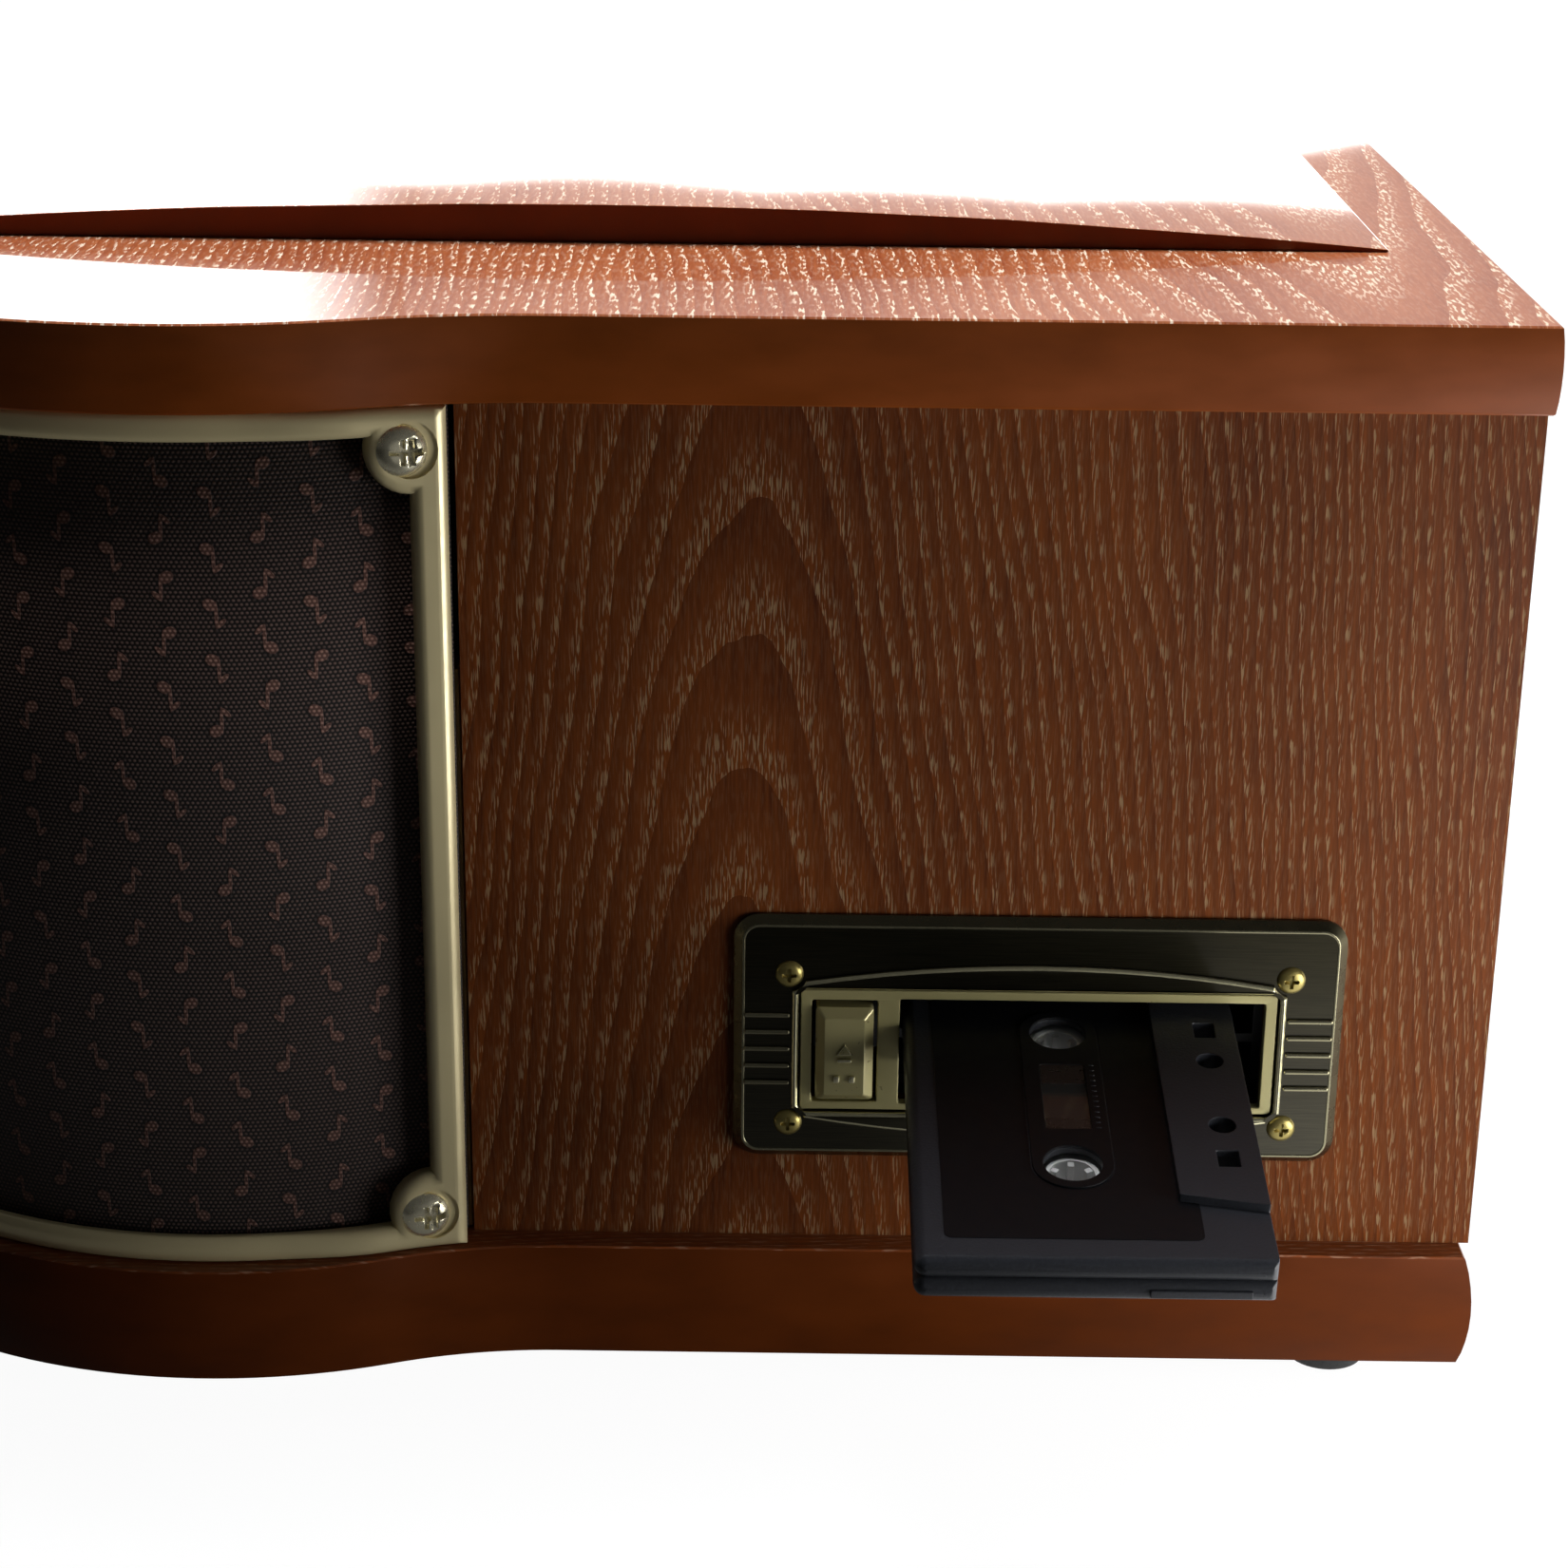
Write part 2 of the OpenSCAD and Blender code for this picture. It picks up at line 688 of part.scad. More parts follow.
module platter_mat() color("#232323") place() at_deck(-platter_x, -platter_y) {
  rotate_extrude() polygon([
    [journal_r + 1, platter_h], [platter_r - 4.5, platter_h], [platter_r - 4.5, mat_top],
    [label_r + 2, mat_top], [label_r, mat_top - 0.6], [journal_r + 1, mat_top - 0.6]
  ]);
}

module platter_spindle() color("#d0d0d0") place() at_deck(-platter_x, -platter_y) {
  rotate_extrude() polygon([
    [0, -deck_t - 14], [7, -deck_t - 14], [7, -deck_t - 3], [14, -deck_t - 3], [14, -deck_t],
    [journal_r, -deck_t], [journal_r, 0], [10, 0], [10, hub_h - gap], [journal_r, hub_h - gap],
    [journal_r, platter_h], [spindle_r, mat_top + gap], [spindle_r, mat_top + spindle_up - 3],
    [spindle_r * 0.5, mat_top + spindle_up], [0, mat_top + spindle_up]
  ]);
}

module drive_motor() color("#9a9a98") place() at_deck(motor_x, motor_y) {
  translate([0, 0, -deck_t - motor_h]) cylinder(motor_h, r = motor_r);
  translate([0, 0, -deck_t - 1]) cylinder(platter_h - 3 + deck_t, r = shaft_r);
}

pulley_top = platter_h - 4;
module motor_pulley() color("#c0a050") place() at_deck(motor_x, motor_y) {
  rotate_extrude() polygon([
    [shaft_r + run, 1], [pulley_r + 1.5, 1], [pulley_r + 1.5, 1.6], [pulley_r, 2.2], [pulley_r, pulley_top - 0.7],
    [pulley_r + 0.8, pulley_top], [shaft_r + run, pulley_top]
  ]);
}

// The loop that the belt makes round two wheels that are d apart
module loop(ra, rb, d) {
  hull() {
    circle(ra);
    translate([d, 0]) circle(rb);
  }
}

module drive_belt() color("#101010") place() at_deck(-platter_x, -platter_y) {
  rotate([0, 0, 135]) translate([0, 0, pulley_top - 0.9 - belt_w]) linear_extrude(belt_w) difference() {
    loop(drive_r + gap + belt_t, pulley_r + gap + belt_t, motor_d);
    loop(drive_r + gap, pulley_r + gap, motor_d);
  }
}

/* Tonearm */
post_r = 4;
yoke_z = arm_z - 11;
cue_x = 18;
cue_y = -12;
cue_z = 14;
module tonearm_base() color("#1e1e20") place() at_deck(arm_x, -arm_y) {
  difference() {
    union() {
      rotate_extrude() polygon([
        [0, 0], [arm_base_r, 0], [arm_base_r, 3], [arm_base_r - 2, 5], [10, 5], [10, yoke_z - gap], [0, yoke_z - gap]
      ]);
      translate([cue_x - 4, cue_y - 4, 0]) cube([3.4, 8, cue_z + 4]);
    }
    translate([0, 0, 1]) cylinder(yoke_z, r = post_r + run);
    translate([0, cue_y, cue_z]) rotate([0, 90, 0]) cylinder(cue_x + 4, r = 1.5 + run);
  }
}

pivot_r = 1.5;
module tonearm_gimbal() color("#b8b8ba") place() at_deck(arm_x, -arm_y) {
  difference() {
    union() {
      translate([0, 0, 1 + gap]) cylinder(yoke_z - 1 - gap, r = post_r);
      translate([0, 0, yoke_z]) cylinder(3, r = 12);
      for (s = [-1, 1]) translate([s * 10.5 - 1.5, -5, yoke_z]) cube([3, 10, arm_z - yoke_z + 5]);
    }
    translate([-20, 0, arm_z]) rotate([0, 90, 0]) cylinder(40, r = pivot_r + run);
  }
}

// The arm points to the front when it is at rest
shell_l = 44;
stylus_z = mat_top + 2.3 - arm_z;
shell_end = arm_len + 8;
tube_l = arm_len - shell_l + 12;
module tonearm() color("#d4d4d6") place() at_deck(arm_x, -arm_y) translate([0, 0, arm_z]) {
  difference() {
    translate([0, 34, 0]) rotate([90, 0, 0]) cylinder(tube_l + 34, r = tube_r);
    translate([0, -tube_l + 10, 0]) rotate([90, 0, 0]) cylinder(11, r = 2.5 + press);
  }
  translate([-6, -8, -6]) cube([12, 16, 12]);
  translate([-12, 0, 0]) rotate([0, 90, 0]) cylinder(24, r = pivot_r);
  difference() {
    translate([0, 40, 0]) rotate([90, 0, 0]) cylinder(weight_l, r = weight_r);
    translate([0, 41, 0]) rotate([90, 0, 0]) cylinder(3, r = weight_r - 5);
  }
}

module headshell() color("#28282a") place() at_deck(arm_x, -arm_y) translate([0, 0, arm_z]) {
  translate([0, -tube_l + 9.5, 0]) rotate([90, 0, 0]) cylinder(12, r = 2.5);
  difference() {
    translate([-8.5, -shell_end, -3]) cube([17, shell_end - tube_l - gap, 6]);
    translate([-6.5, -shell_end + 2, -4]) cube([13, shell_end - tube_l - 8, 5]);
  }
  translate([-6.4, -shell_end + 4, stylus_z + 4]) cube([12.8, 20, 1 - stylus_z - 4]);
  translate([0, -arm_len, stylus_z]) cylinder(4.1, r1 = 0.3, r2 = 1.4, $fn = 24);
  translate([8.4, -shell_end + 6, 1]) cube([10, 3, 1.6]);
}

module cue_lever() color("#b8b8ba") place() at_deck(arm_x, -arm_y) translate([0, cue_y, cue_z]) {
  translate([cue_x - 6, 0, 0]) rotate([0, 90, 0]) cylinder(8.6, r = 1.5);
  translate([cue_x - 0.2, -26, -2]) cube([2.6, 29, 4]);
  translate([cue_x - 1.6, -34, -2.5]) cube([5.4, 9, 5]);
}

module speed_selector() color("#b8b8ba") place() at_deck(switch_x, -speed_y) {
  translate([0, 0, -deck_t - 5]) cylinder(deck_t + 6, r = 3);
  translate([0, 0, gap]) cylinder(7, r = 9);
  translate([-1.6, -15, 1.5]) cube([3.2, 15, 4.5]);
}

/* Cassette deck */
rib_n = 5;
rib_pitch = 3.3;
rib_w = 8.6;
rib_r = 1.1;
frame_z = plate_z - 2;
plate_screw_y = frame_w / 2 + 0.6;
plate_screw_z = frame_h / 2 + 1.2;
plate_screw_r = 2.8;
module plate_screw_places() {
  for (s = [-1, 1], t = [-1, 1])
    translate([half_w, -plate_y + s * plate_screw_y, panel_z + frame_z + t * plate_screw_z])
      rotate([0, 90, 0]) children();
}

module cassette_escutcheon() color("#4a4632") place() {
  difference() {
    union() {
      on_side(0, plate_t) translate([-plate_y, plate_z]) round_box(plate_w, plate_h, plate_r);
      on_side(0, plate_t + frame_up) translate([-plate_y, frame_z]) round_box(frame_w, frame_h, 2);
      for (s = [-1, 1], i = [0:rib_n - 1])
        translate([half_w + plate_t, -plate_y + s * (plate_w / 2 - 6.5) - rib_w / 2,
          panel_z + frame_z + (i - (rib_n - 1) / 2) * rib_pitch])
          rotate([-90, 0, 0]) cylinder(rib_w, r = rib_r);
    }
    on_side(-past, plate_t + frame_up + 2 * past) translate([-plate_y, trim_z])
      square([trim_w + 2 * gap, trim_h + 2 * gap], center = true);
    plate_screw_places() translate([0, 0, -past]) cylinder(plate_t + frame_up + 2 * past, r = shank_r + press);
    plate_screw_places() translate([0, 0, plate_t - 0.4]) cylinder(frame_up + 2, r = plate_screw_r + 0.2);
  }
}

module escutcheon_screws() color("#b59a58") place() {
  plate_screw_places() translate([0, 0, plate_t - 0.4])
    cross_screw(plate_screw_r, 1.5, shank_r, panel_t);
}

module slot_trim() color("#8a8458") place() {
  difference() {
    on_side(gap, plate_t) translate([-plate_y, trim_z]) square([trim_w, trim_h], center = true);
    on_side(-past, plate_t + 3 * past) translate([-slot_y, slot_z]) square([slot_w, slot_h], center = true);
    on_side(-past, plate_t + 3 * past) translate([-key_y, slot_z]) square([key_w, slot_h], center = true);
  }
}

// The push key with its stem, which the bay guides
stem = 6;
key_up = key_travel + 0.2;
guide_l = 14;
bay_x = half_w - panel_t - gap;
module eject_key() color("#8a8458") place() {
  on_side(-2, 2 + plate_t + key_up) translate([-key_y, slot_z])
    square([key_w - 2 * gap, slot_h - 2 * gap], center = true);
  on_side(-panel_t - guide_l - 6, panel_t + guide_l + 5) translate([-key_y, slot_z])
    square([stem, stem], center = true);
}

// The bay behind the slot: a box open to the right, with a sloping shelf that the cassette lies on
bay_t = 2;
rail_lap = 3;
bay_l = tape_l + 8;
bay_low = slot_z - slot_h / 2 - 2.6;
bay_high = slot_z + tape_l * sin(tape_tilt) + 16;
tape_y = slot_y + slot_w / 2 - tape_w / 2 - 0.8;
tape_top = slot_z + slot_h / 2 - 4.1;
module cassette_bay() color("#2c2c2e") place() {
  difference() {
    union() {
      translate([bay_x - bay_l, -slot_y - slot_w / 2 - bay_t, panel_z + bay_low])
        cube([bay_l, slot_w + 2 * bay_t, bay_high - bay_low]);
      translate([bay_x - guide_l, -key_y - stem / 2 - 3, panel_z + slot_z - stem / 2 - 3])
        cube([guide_l, key_y - slot_y - slot_w / 2 + stem / 2 + 3, stem + 6]);
    }
    translate([bay_x - bay_l + bay_t, -slot_y - slot_w / 2, panel_z + bay_low + bay_t])
      cube([bay_l, slot_w, bay_high - bay_low - 2 * bay_t]);
    translate([bay_x - guide_l - past, -key_y - stem / 2 - gap, panel_z + slot_z - stem / 2 - gap])
      cube([guide_l + 2 * past, stem + 2 * gap, stem + 2 * gap]);
  }
  intersection() {
    translate([bay_x - bay_l + bay_t, -slot_y - slot_w / 2, panel_z + bay_low])
      cube([bay_l - bay_t, slot_w, bay_high - bay_low]);
    in_tape() for (s = [-1, 1])
      translate([-far / 2, s * (tape_w / 2 - rail_lap + slot_w / 4), -tape_t - tape_step - gap - 1])
        cube([far, slot_w / 2, 2], center = true);
  }
}

// The drive beneath the bay: a chassis on four posts with its motor and flywheel
drive_z = bay_low - 4;
module tape_mechanism() color("#8e8e90") place() translate([bay_x - bay_l / 2, -slot_y, panel_z + drive_z]) {
  translate([-bay_l / 2, -slot_w / 2, -2]) cube([bay_l, slot_w, 2]);
  for (x = [-1, 1], y = [-1, 1]) translate([x * (bay_l / 2 - 6), y * (slot_w / 2 - 6), 0]) cylinder(4, r = 3);
  translate([-bay_l / 2 + 20, -slot_w / 2 + 18, -16]) cylinder(14, r = 14);
  translate([10, 4, -8]) cylinder(4, r = 24);
  translate([10, 4, -11]) cylinder(9, r = 2);
}

// In the cassette's own frame the near end is x = 0, the top face is z = 0 and x points out of the slot
module in_tape() {
  translate([half_w, -tape_y, panel_z + tape_top]) rotate([0, tape_tilt, 0]) translate([tape_out, 0, 0])
    children();
}

tape_mid = tape_l / 2;
hub_y = -2.3;
hub_hole = 5.4;
reel_r = 11;
module hub_places() {
  for (s = [-1, 1]) translate([-tape_mid + s * hub_gap / 2, hub_y, 0]) children();
}

// Half a cassette from the parting plane up to h, with the step at its head end
module tape_half(h) {
  edge = tape_w / 2;
  difference() {
    union() {
      translate([-tape_l, -edge, 0]) cube([tape_l, tape_w, h]);
      linear_extrude(h + tape_step) polygon([
        [-tape_mid - 35, edge], [-tape_mid + 35, edge], [-tape_mid + 32, edge - 16], [-tape_mid - 32, edge - 16]
      ]);
    }
    hub_places() translate([0, 0, -past]) cylinder(h + 2 * past, r = hub_hole);
    hub_places() translate([0, 0, -past]) cylinder(past + h - 1.5, r = reel_r + 0.4);
    translate([-tape_mid - 12, hub_y - 5, h - 0.8]) cube([24, 10, 2]);
    for (s = [-1, 1]) {
      translate([-tape_mid + s * 10.5, edge - 6, -past]) cylinder(h + 4, r = 2.5);
      translate([-tape_mid + s * 21 - 2.5, edge - 8, -past]) cube([5, 4, h + 4]);
      translate([-tape_mid + s * 16 - 8, edge - 3, -past]) cube([16, 4, past + h - 1]);
    }
  }
}

module cassette_upper_shell() color("#303034") place() {
  in_tape() translate([0, 0, -tape_t / 2]) tape_half(tape_t / 2);
}

module cassette_lower_shell() color("#303034") place() {
  in_tape() translate([0, 0, -tape_t / 2]) mirror([0, 0, 1]) tape_half(tape_t / 2);
}

module tape_hub(s) {
  in_tape() translate([-tape_mid + s * hub_gap / 2, hub_y, -tape_t / 2]) {
    difference() {
      union() {
        cylinder(tape_t - 3 - 2 * gap, r = reel_r, center = true);
        cylinder(tape_t - 2 * gap, r = hub_hole - gap, center = true);
      }
      cylinder(tape_t, r = hub_hole - gap - 0.9, center = true);
    }
    for (a = [0:60:300]) rotate([0, 0, a]) translate([hub_hole - gap - 2.2, -0.6, -tape_t / 2 + 1])
      cube([1.5, 1.2, tape_t - 2]);
  }
}

module supply_hub() color("#f0f0ec") place() {
  tape_hub(-1);
}

module takeup_hub() color("#f0f0ec") place() {
  tape_hub(1);
}

/* Disc drawer */
tray_w = drawer_w - 14;
tray_h = 10;
tray_l = drawer_travel + 7;
tray_y = -front_at(0, fascia_back);
rail_t = 2;
module cd_drawer() color("#26262a") place() {
  translate([0, 0, panel_z + drawer_z - drawer_h / 2 + gap]) linear_extrude(drawer_h - 2 * gap) intersection() {
    strip(fascia_out + 1, fascia_back);
    translate([-drawer_w / 2 + gap, -far]) square([drawer_w - 2 * gap, far - baffle_y]);
  }
  difference() {
    translate([-tray_w / 2, -tray_y - 0.5, panel_z + drawer_z - tray_h / 2]) cube([tray_w, tray_l, tray_h]);
    translate([0, -tray_y + disc_r + 9, panel_z + drawer_z + tray_h / 2 - 3]) cylinder(4, r = disc_r);
    translate([0, -tray_y + disc_r + 9, panel_z + drawer_z - tray_h]) cylinder(2 * tray_h, r = 18);
  }
}

// The drawer's housing hangs from the deck, and is open to the front
house_w = tray_w + 2 * gap + 2 * rail_t;
house_h = post_h - drawer_z + tray_h / 2 + gap + rail_t;
house_y = tray_y - 6;
module cd_mechanism() color("#8e8e90") place() {
  difference() {
    translate([-house_w / 2, -house_y, panel_z + post_h - house_h]) cube([house_w, tray_l + 6, house_h]);
    translate([-house_w / 2 + rail_t, -house_y - past, panel_z + post_h - house_h + rail_t])
      cube([house_w - 2 * rail_t, tray_l + 5, house_h - 2 * rail_t]);
  }
  translate([0, -house_y + tray_l - 40, panel_z + post_h - house_h - 4]) cylinder(4, r = 12);
}

/* Dial and controls */
rail_y = -front_at(dial_w / 2, fascia_back) - 3.3;
rail_z = dial_z - dial_h / 2 - 4;
scale_y = rail_y - 2.4;
scale_t = 2;
rod_r = 1;
slider_w = 8;
rod_half = pointer_travel + slider_w / 2 + 5;
scale_half = max(dial_w / 2, rod_half) + 2;
module dial_glass() color("#d8e0e0", 0.35) place() {
  translate([0, 0, panel_z + dial_z - dial_h / 2 + gap]) linear_extrude(dial_h - 2 * gap) intersection() {
    strip(fascia_out - 0.6, fascia_back + 1.5);
    translate([-dial_w / 2 + gap, -far]) square([dial_w - 2 * gap, far - baffle_y]);
  }
}

module dial_scale() color("#e8dcb4") place() {
  translate([-scale_half, -scale_y, panel_z + rail_z - 4]) cube([2 * scale_half, scale_t, dial_h + 9]);
  seat = front_at(rod_half + 1, fascia_back) + press;
  for (s = [-1, 1]) translate([s * rod_half - 1, seat, panel_z + rail_z - 3])
    cube([2, scale_t - scale_y - seat, 6]);
  translate([-rod_half, -rail_y, panel_z + rail_z]) rotate([0, 90, 0]) cylinder(2 * rod_half, r = rod_r);
}

module dial_pointer() color("#d03020") place() translate([0, -rail_y, panel_z + rail_z]) {
  difference() {
    translate([-slider_w / 2, -1.9, -2.5]) cube([slider_w, 3.8, 5]);
    translate([-slider_w, 0, 0]) rotate([0, 90, 0]) cylinder(2 * slider_w, r = rod_r + run);
  }
  translate([-0.6, -0.6, 2]) cube([1.2, 1.2, dial_h]);
}

spin_r = 3;
module knob(x, z, r, h) {
  seat = front_at(abs(x) - r, fascia_out) - gap;
  translate([x, x == 0 ? front_at(0, fascia_out) - gap : seat, panel_z + z]) rotate([90, 0, 0]) {
    rotate_extrude() polygon([[0, 0], [r, 0], [r, 2], [r - 1, 3], [r - 1.5, h - 1.5], [r - 3, h], [0, h]]);
    translate([0, 0, -fascia_t - 14]) cylinder(fascia_t + 14.5, r = spin_r);
  }
}

low_knob_r = 10;
open_x = 38;
play_x = 64;
power_r = 6.5;
button_w = 17;
button_h = 8;
module button(x) {
  translate([x, front_at(x, fascia_out) - button_travel, panel_z + button_z]) {
    translate([-button_w / 2 + gap, 0, -button_h / 2 + gap])
      cube([button_w - 2 * gap, fascia_t + button_travel + 1, button_h - 2 * gap]);
    translate([-button_w / 2 - 1, fascia_t + button_travel + 0.9, -button_h / 2 - 1])
      cube([button_w + 2, 1.2, button_h + 2]);
  }
}

module front_fascia() color("#3a2214") place() {
  difference() {
    translate([0, 0, panel_z + gap]) linear_extrude(side_h - 2 * gap) intersection() {
      strip(fascia_out, fascia_back);
      translate([-fascia_w / 2, -far]) square([fascia_w, far - baffle_y]);
    }
    front_cut(0, drawer_z, drawer_w, drawer_h);
    front_cut(0, dial_z, dial_w, dial_h);
    for (x = [open_x, play_x]) front_cut(x, button_z, button_w, button_h);
    for (x = [-knob_x, knob_x]) on_front(x, dial_z, 0) cylinder(30, r = spin_r + run, center = true);
    on_front(0, low_z, 0) cylinder(30, r = spin_r + run, center = true);
    on_front(knob_x, low_z, 0) cylinder(30, r = power_r + gap, center = true);
    on_front(-knob_x, low_z, 0) cylinder(30, r = jack_r + 2.5, center = true);
  }
}

module tuning_knob() color("#c8b070") place() knob(knob_x, dial_z, knob_r, knob_h);
module volume_knob() color("#c8b070") place() knob(-knob_x, dial_z, knob_r, knob_h);
module function_knob() color("#c8b070") place() knob(0, low_z, low_knob_r, low_knob_h);

module power_button() color("#c8b070") place() on_front(knob_x, low_z, fascia_out) {
  translate([0, 0, -fascia_t - 1]) cylinder(fascia_t + 1.5 + button_travel, r = power_r);
  translate([0, 0, -fascia_t - 2.4]) cylinder(1.6, r = power_r + 2);
}

module open_button() color("#c8b070") place() button(open_x);
module play_button() color("#c8b070") place() button(play_x);

// The rim lies on the bow's nearer side
jack_l = 28;
jack_rim = (jack_r + 4) * knob_x / bow_r;
module headphone_jack() color("#b8b8ba") place() on_front(-knob_x, low_z, fascia_out) {
  difference() {
    union() {
      translate([0, 0, -jack_l - 2]) cylinder(jack_l + 3 + jack_rim, r = jack_r + 2.5 - press);
      translate([0, 0, jack_rim]) cylinder(1.2, r = jack_r + 4);
    }
    translate([0, 0, -jack_l]) cylinder(jack_l + 12, r = jack_r);
  }
}

/* Electrics */
board_z = 8;
board_w = 130;
board_d = 100;
board_x = -92;
board_y = 250;
module amplifier_board() color("#2c6a3c") place() translate([board_x, -board_y, panel_z]) {
  translate([0, 0, board_z]) cube([board_w, board_d, 1.6]);
  for (x = [6, board_w - 6], y = [6, board_d - 6]) translate([x, y, 0]) cylinder(board_z, r = 3);
  translate([20, board_d - 24, board_z + 1.6]) cube([60, 14, 30]);
  for (x = [0:2]) translate([30 + x * 26, 30, board_z + 1.6]) cylinder(24, r = 9);
}

core_w = 58;
core_d = 46;
core_h = 48;
module power_transformer() color("#6a6a66") place() translate([-half_w + panel_t + 26, -110, panel_z]) {
  cube([core_w, core_d, core_h]);
  translate([8, -8, 8]) cube([core_w - 16, core_d + 16, core_h - 16]);
  translate([-8, core_d / 2 - 8, 0]) cube([core_w + 16, 16, 2]);
}

module rear_sockets() color("#1c1c1e") place() {
  difference() {
    translate([rca_x - 10, -rear_in - 2 - gap, panel_z + rca_z - rca_gap - 10])
      cube([rca_gap + 20, 2, rca_gap + 20]);
    rca_places() translate([0, 0, -40]) cylinder(80, r = 1.6);
  }
  rca_places() difference() {
    translate([0, 0, -rear_in - 1]) cylinder(rear_in + 1 + socket_out, r = rca_r);
    translate([0, 0, -rear_in - 2]) cylinder(rear_in + 4 + socket_out, r = 1.6);
  }
  difference() {
    translate([inlet_x - inlet_w / 2 + gap, -rear_in - 14, panel_z + inlet_z - inlet_h / 2 + gap])
      cube([inlet_w - 2 * gap, rear_in + 14, inlet_h - 2 * gap]);
    translate([inlet_x, 0, panel_z + inlet_z]) rotate([90, 0, 0]) linear_extrude(12) {
      translate([-3.3, 0]) circle(3.6);
      translate([3.3, 0]) circle(3.6);
      square([6.6, 7.2], center = true);
    }
  }
}

module rca_places() {
  for (x = [0, 1], z = [0, 1]) translate([rca_x + x * rca_gap, 0, panel_z + rca_z - z * rca_gap])
    rotate([-90, 0, 0]) children();
}

base_board();
rubber_feet();
left_side_panel();
right_side_panel();
rear_panel();
cabinet_screws();
front_fascia();
corner_battens();
well_liner();
left_grille_frame();
right_grille_frame();
left_grille_cloth();
right_grille_cloth();
speaker_baffles();
speaker_frames();
speaker_cones();
lid_board();
lid_crown();
hinge_cabinet_leaves();
hinge_lid_leaves();
hinge_pins();
deck_plate();
arm_clip();
platter();
platter_mat();
platter_spindle();
drive_motor();
motor_pulley();
drive_belt();
tonearm_base();
tonearm_gimbal();
tonearm();
headshell();
cue_lever();
speed_selector();
cassette_escutcheon();
slot_trim();
escutcheon_screws();
eject_key();
cassette_bay();
tape_mechanism();
cassette_lower_shell();
cassette_upper_shell();
supply_hub();
takeup_hub();
cd_drawer();
cd_mechanism();
dial_glass();
dial_scale();
dial_pointer();
tuning_knob();
volume_knob();
function_knob();
power_button();
open_button();
play_button();
headphone_jack();
amplifier_board();
power_transformer();
rear_sockets();
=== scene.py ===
import json
import math

import bmesh
import bpy
from mathutils import Matrix, Vector


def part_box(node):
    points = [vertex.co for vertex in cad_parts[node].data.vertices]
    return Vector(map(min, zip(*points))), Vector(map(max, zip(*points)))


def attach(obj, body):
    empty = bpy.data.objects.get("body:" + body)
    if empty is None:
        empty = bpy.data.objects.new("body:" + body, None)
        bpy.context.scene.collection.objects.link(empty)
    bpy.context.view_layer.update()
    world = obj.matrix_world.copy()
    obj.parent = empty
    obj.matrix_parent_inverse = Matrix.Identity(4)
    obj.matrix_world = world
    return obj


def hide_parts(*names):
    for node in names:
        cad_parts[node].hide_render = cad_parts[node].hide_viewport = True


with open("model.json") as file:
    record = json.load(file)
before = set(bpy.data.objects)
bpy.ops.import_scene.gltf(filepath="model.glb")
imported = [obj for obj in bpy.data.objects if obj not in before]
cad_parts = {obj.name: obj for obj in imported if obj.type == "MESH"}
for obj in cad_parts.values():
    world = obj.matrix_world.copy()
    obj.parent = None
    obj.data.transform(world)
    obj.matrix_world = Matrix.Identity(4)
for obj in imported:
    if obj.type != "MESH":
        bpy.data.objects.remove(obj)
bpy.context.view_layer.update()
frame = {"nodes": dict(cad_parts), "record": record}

# The cabinet's datum faces, read from the frame: the side panels' outer faces, the rear edge, and the top
# of the base board. Sizes below are in millimetres times MM.
MM = 0.001
right_lo, right_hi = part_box("right_side_panel")
mid_x = (right_hi.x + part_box("left_side_panel")[0].x) / 2
half_w = right_hi.x - mid_x
rear_y = right_hi.y
panel_z, top_z = right_lo.z, right_hi.z
side_h = top_z - panel_z

# Camera: a 72 mm lens half a metre from the right side, looking down at it by twenty degrees. Its place is
# given from the side panel's outer face, the rear edge and the base board's top.


def in_scene(name, data):
    """A new object in the scene."""
    made = bpy.data.objects.new(name, data)
    bpy.context.scene.collection.objects.link(made)
    return made


camera_from_panel = Vector((563.9, -136.7, 304.7)) * MM
yaw, pitch, roll = 0.003, 0.354, 0.012
lens_px, frame_px, sensor = 3325, 1650, 36
look = Vector((-math.cos(yaw) * math.cos(pitch), -math.sin(yaw) * math.cos(pitch), -math.sin(pitch)))
level = look.cross(Vector((0, 0, 1))).normalized()
upward = level.cross(look)
sideways = level * math.cos(roll) + upward * math.sin(roll)
upright = upward * math.cos(roll) - level * math.sin(roll)
camera_data = bpy.data.cameras.new("camera")
camera_data.sensor_width = sensor
camera_data.lens = sensor * lens_px / frame_px
camera_data.clip_start = 0.01
camera = in_scene("camera", camera_data)
camera.matrix_world = Matrix.Translation(Vector((right_hi.x, rear_y, panel_z)) + camera_from_panel) @ Matrix(
    (sideways, upright, -look)).transposed().to_4x4()
bpy.context.scene.camera = camera
bpy.context.scene.view_settings.view_transform = "Standard"


# World: white behind the object. What lights the object is a studio that is bright at its rear, behind the
# object's left side, and dim on the camera's side.


def add(tree, kind, props=None, **ins):
    """Adds one node. props are its settings. ins are its inputs, by name or as i0, i1: each is a value, a
    socket, or a node for its first output."""
    made = tree.nodes.new(kind)
    for key, value in (props or {}).items():
        setattr(made, key, value)
    for key, value in ins.items():
        place = int(key[1:]) if key[0] == "i" and key[1:].isdigit() else key.replace("_", " ")
        if isinstance(value, bpy.types.Node):
            value = value.outputs[0]
        if isinstance(value, bpy.types.NodeSocket):
            tree.links.new(value, made.inputs[place])
        else:
            made.inputs[place].default_value = value
    return made


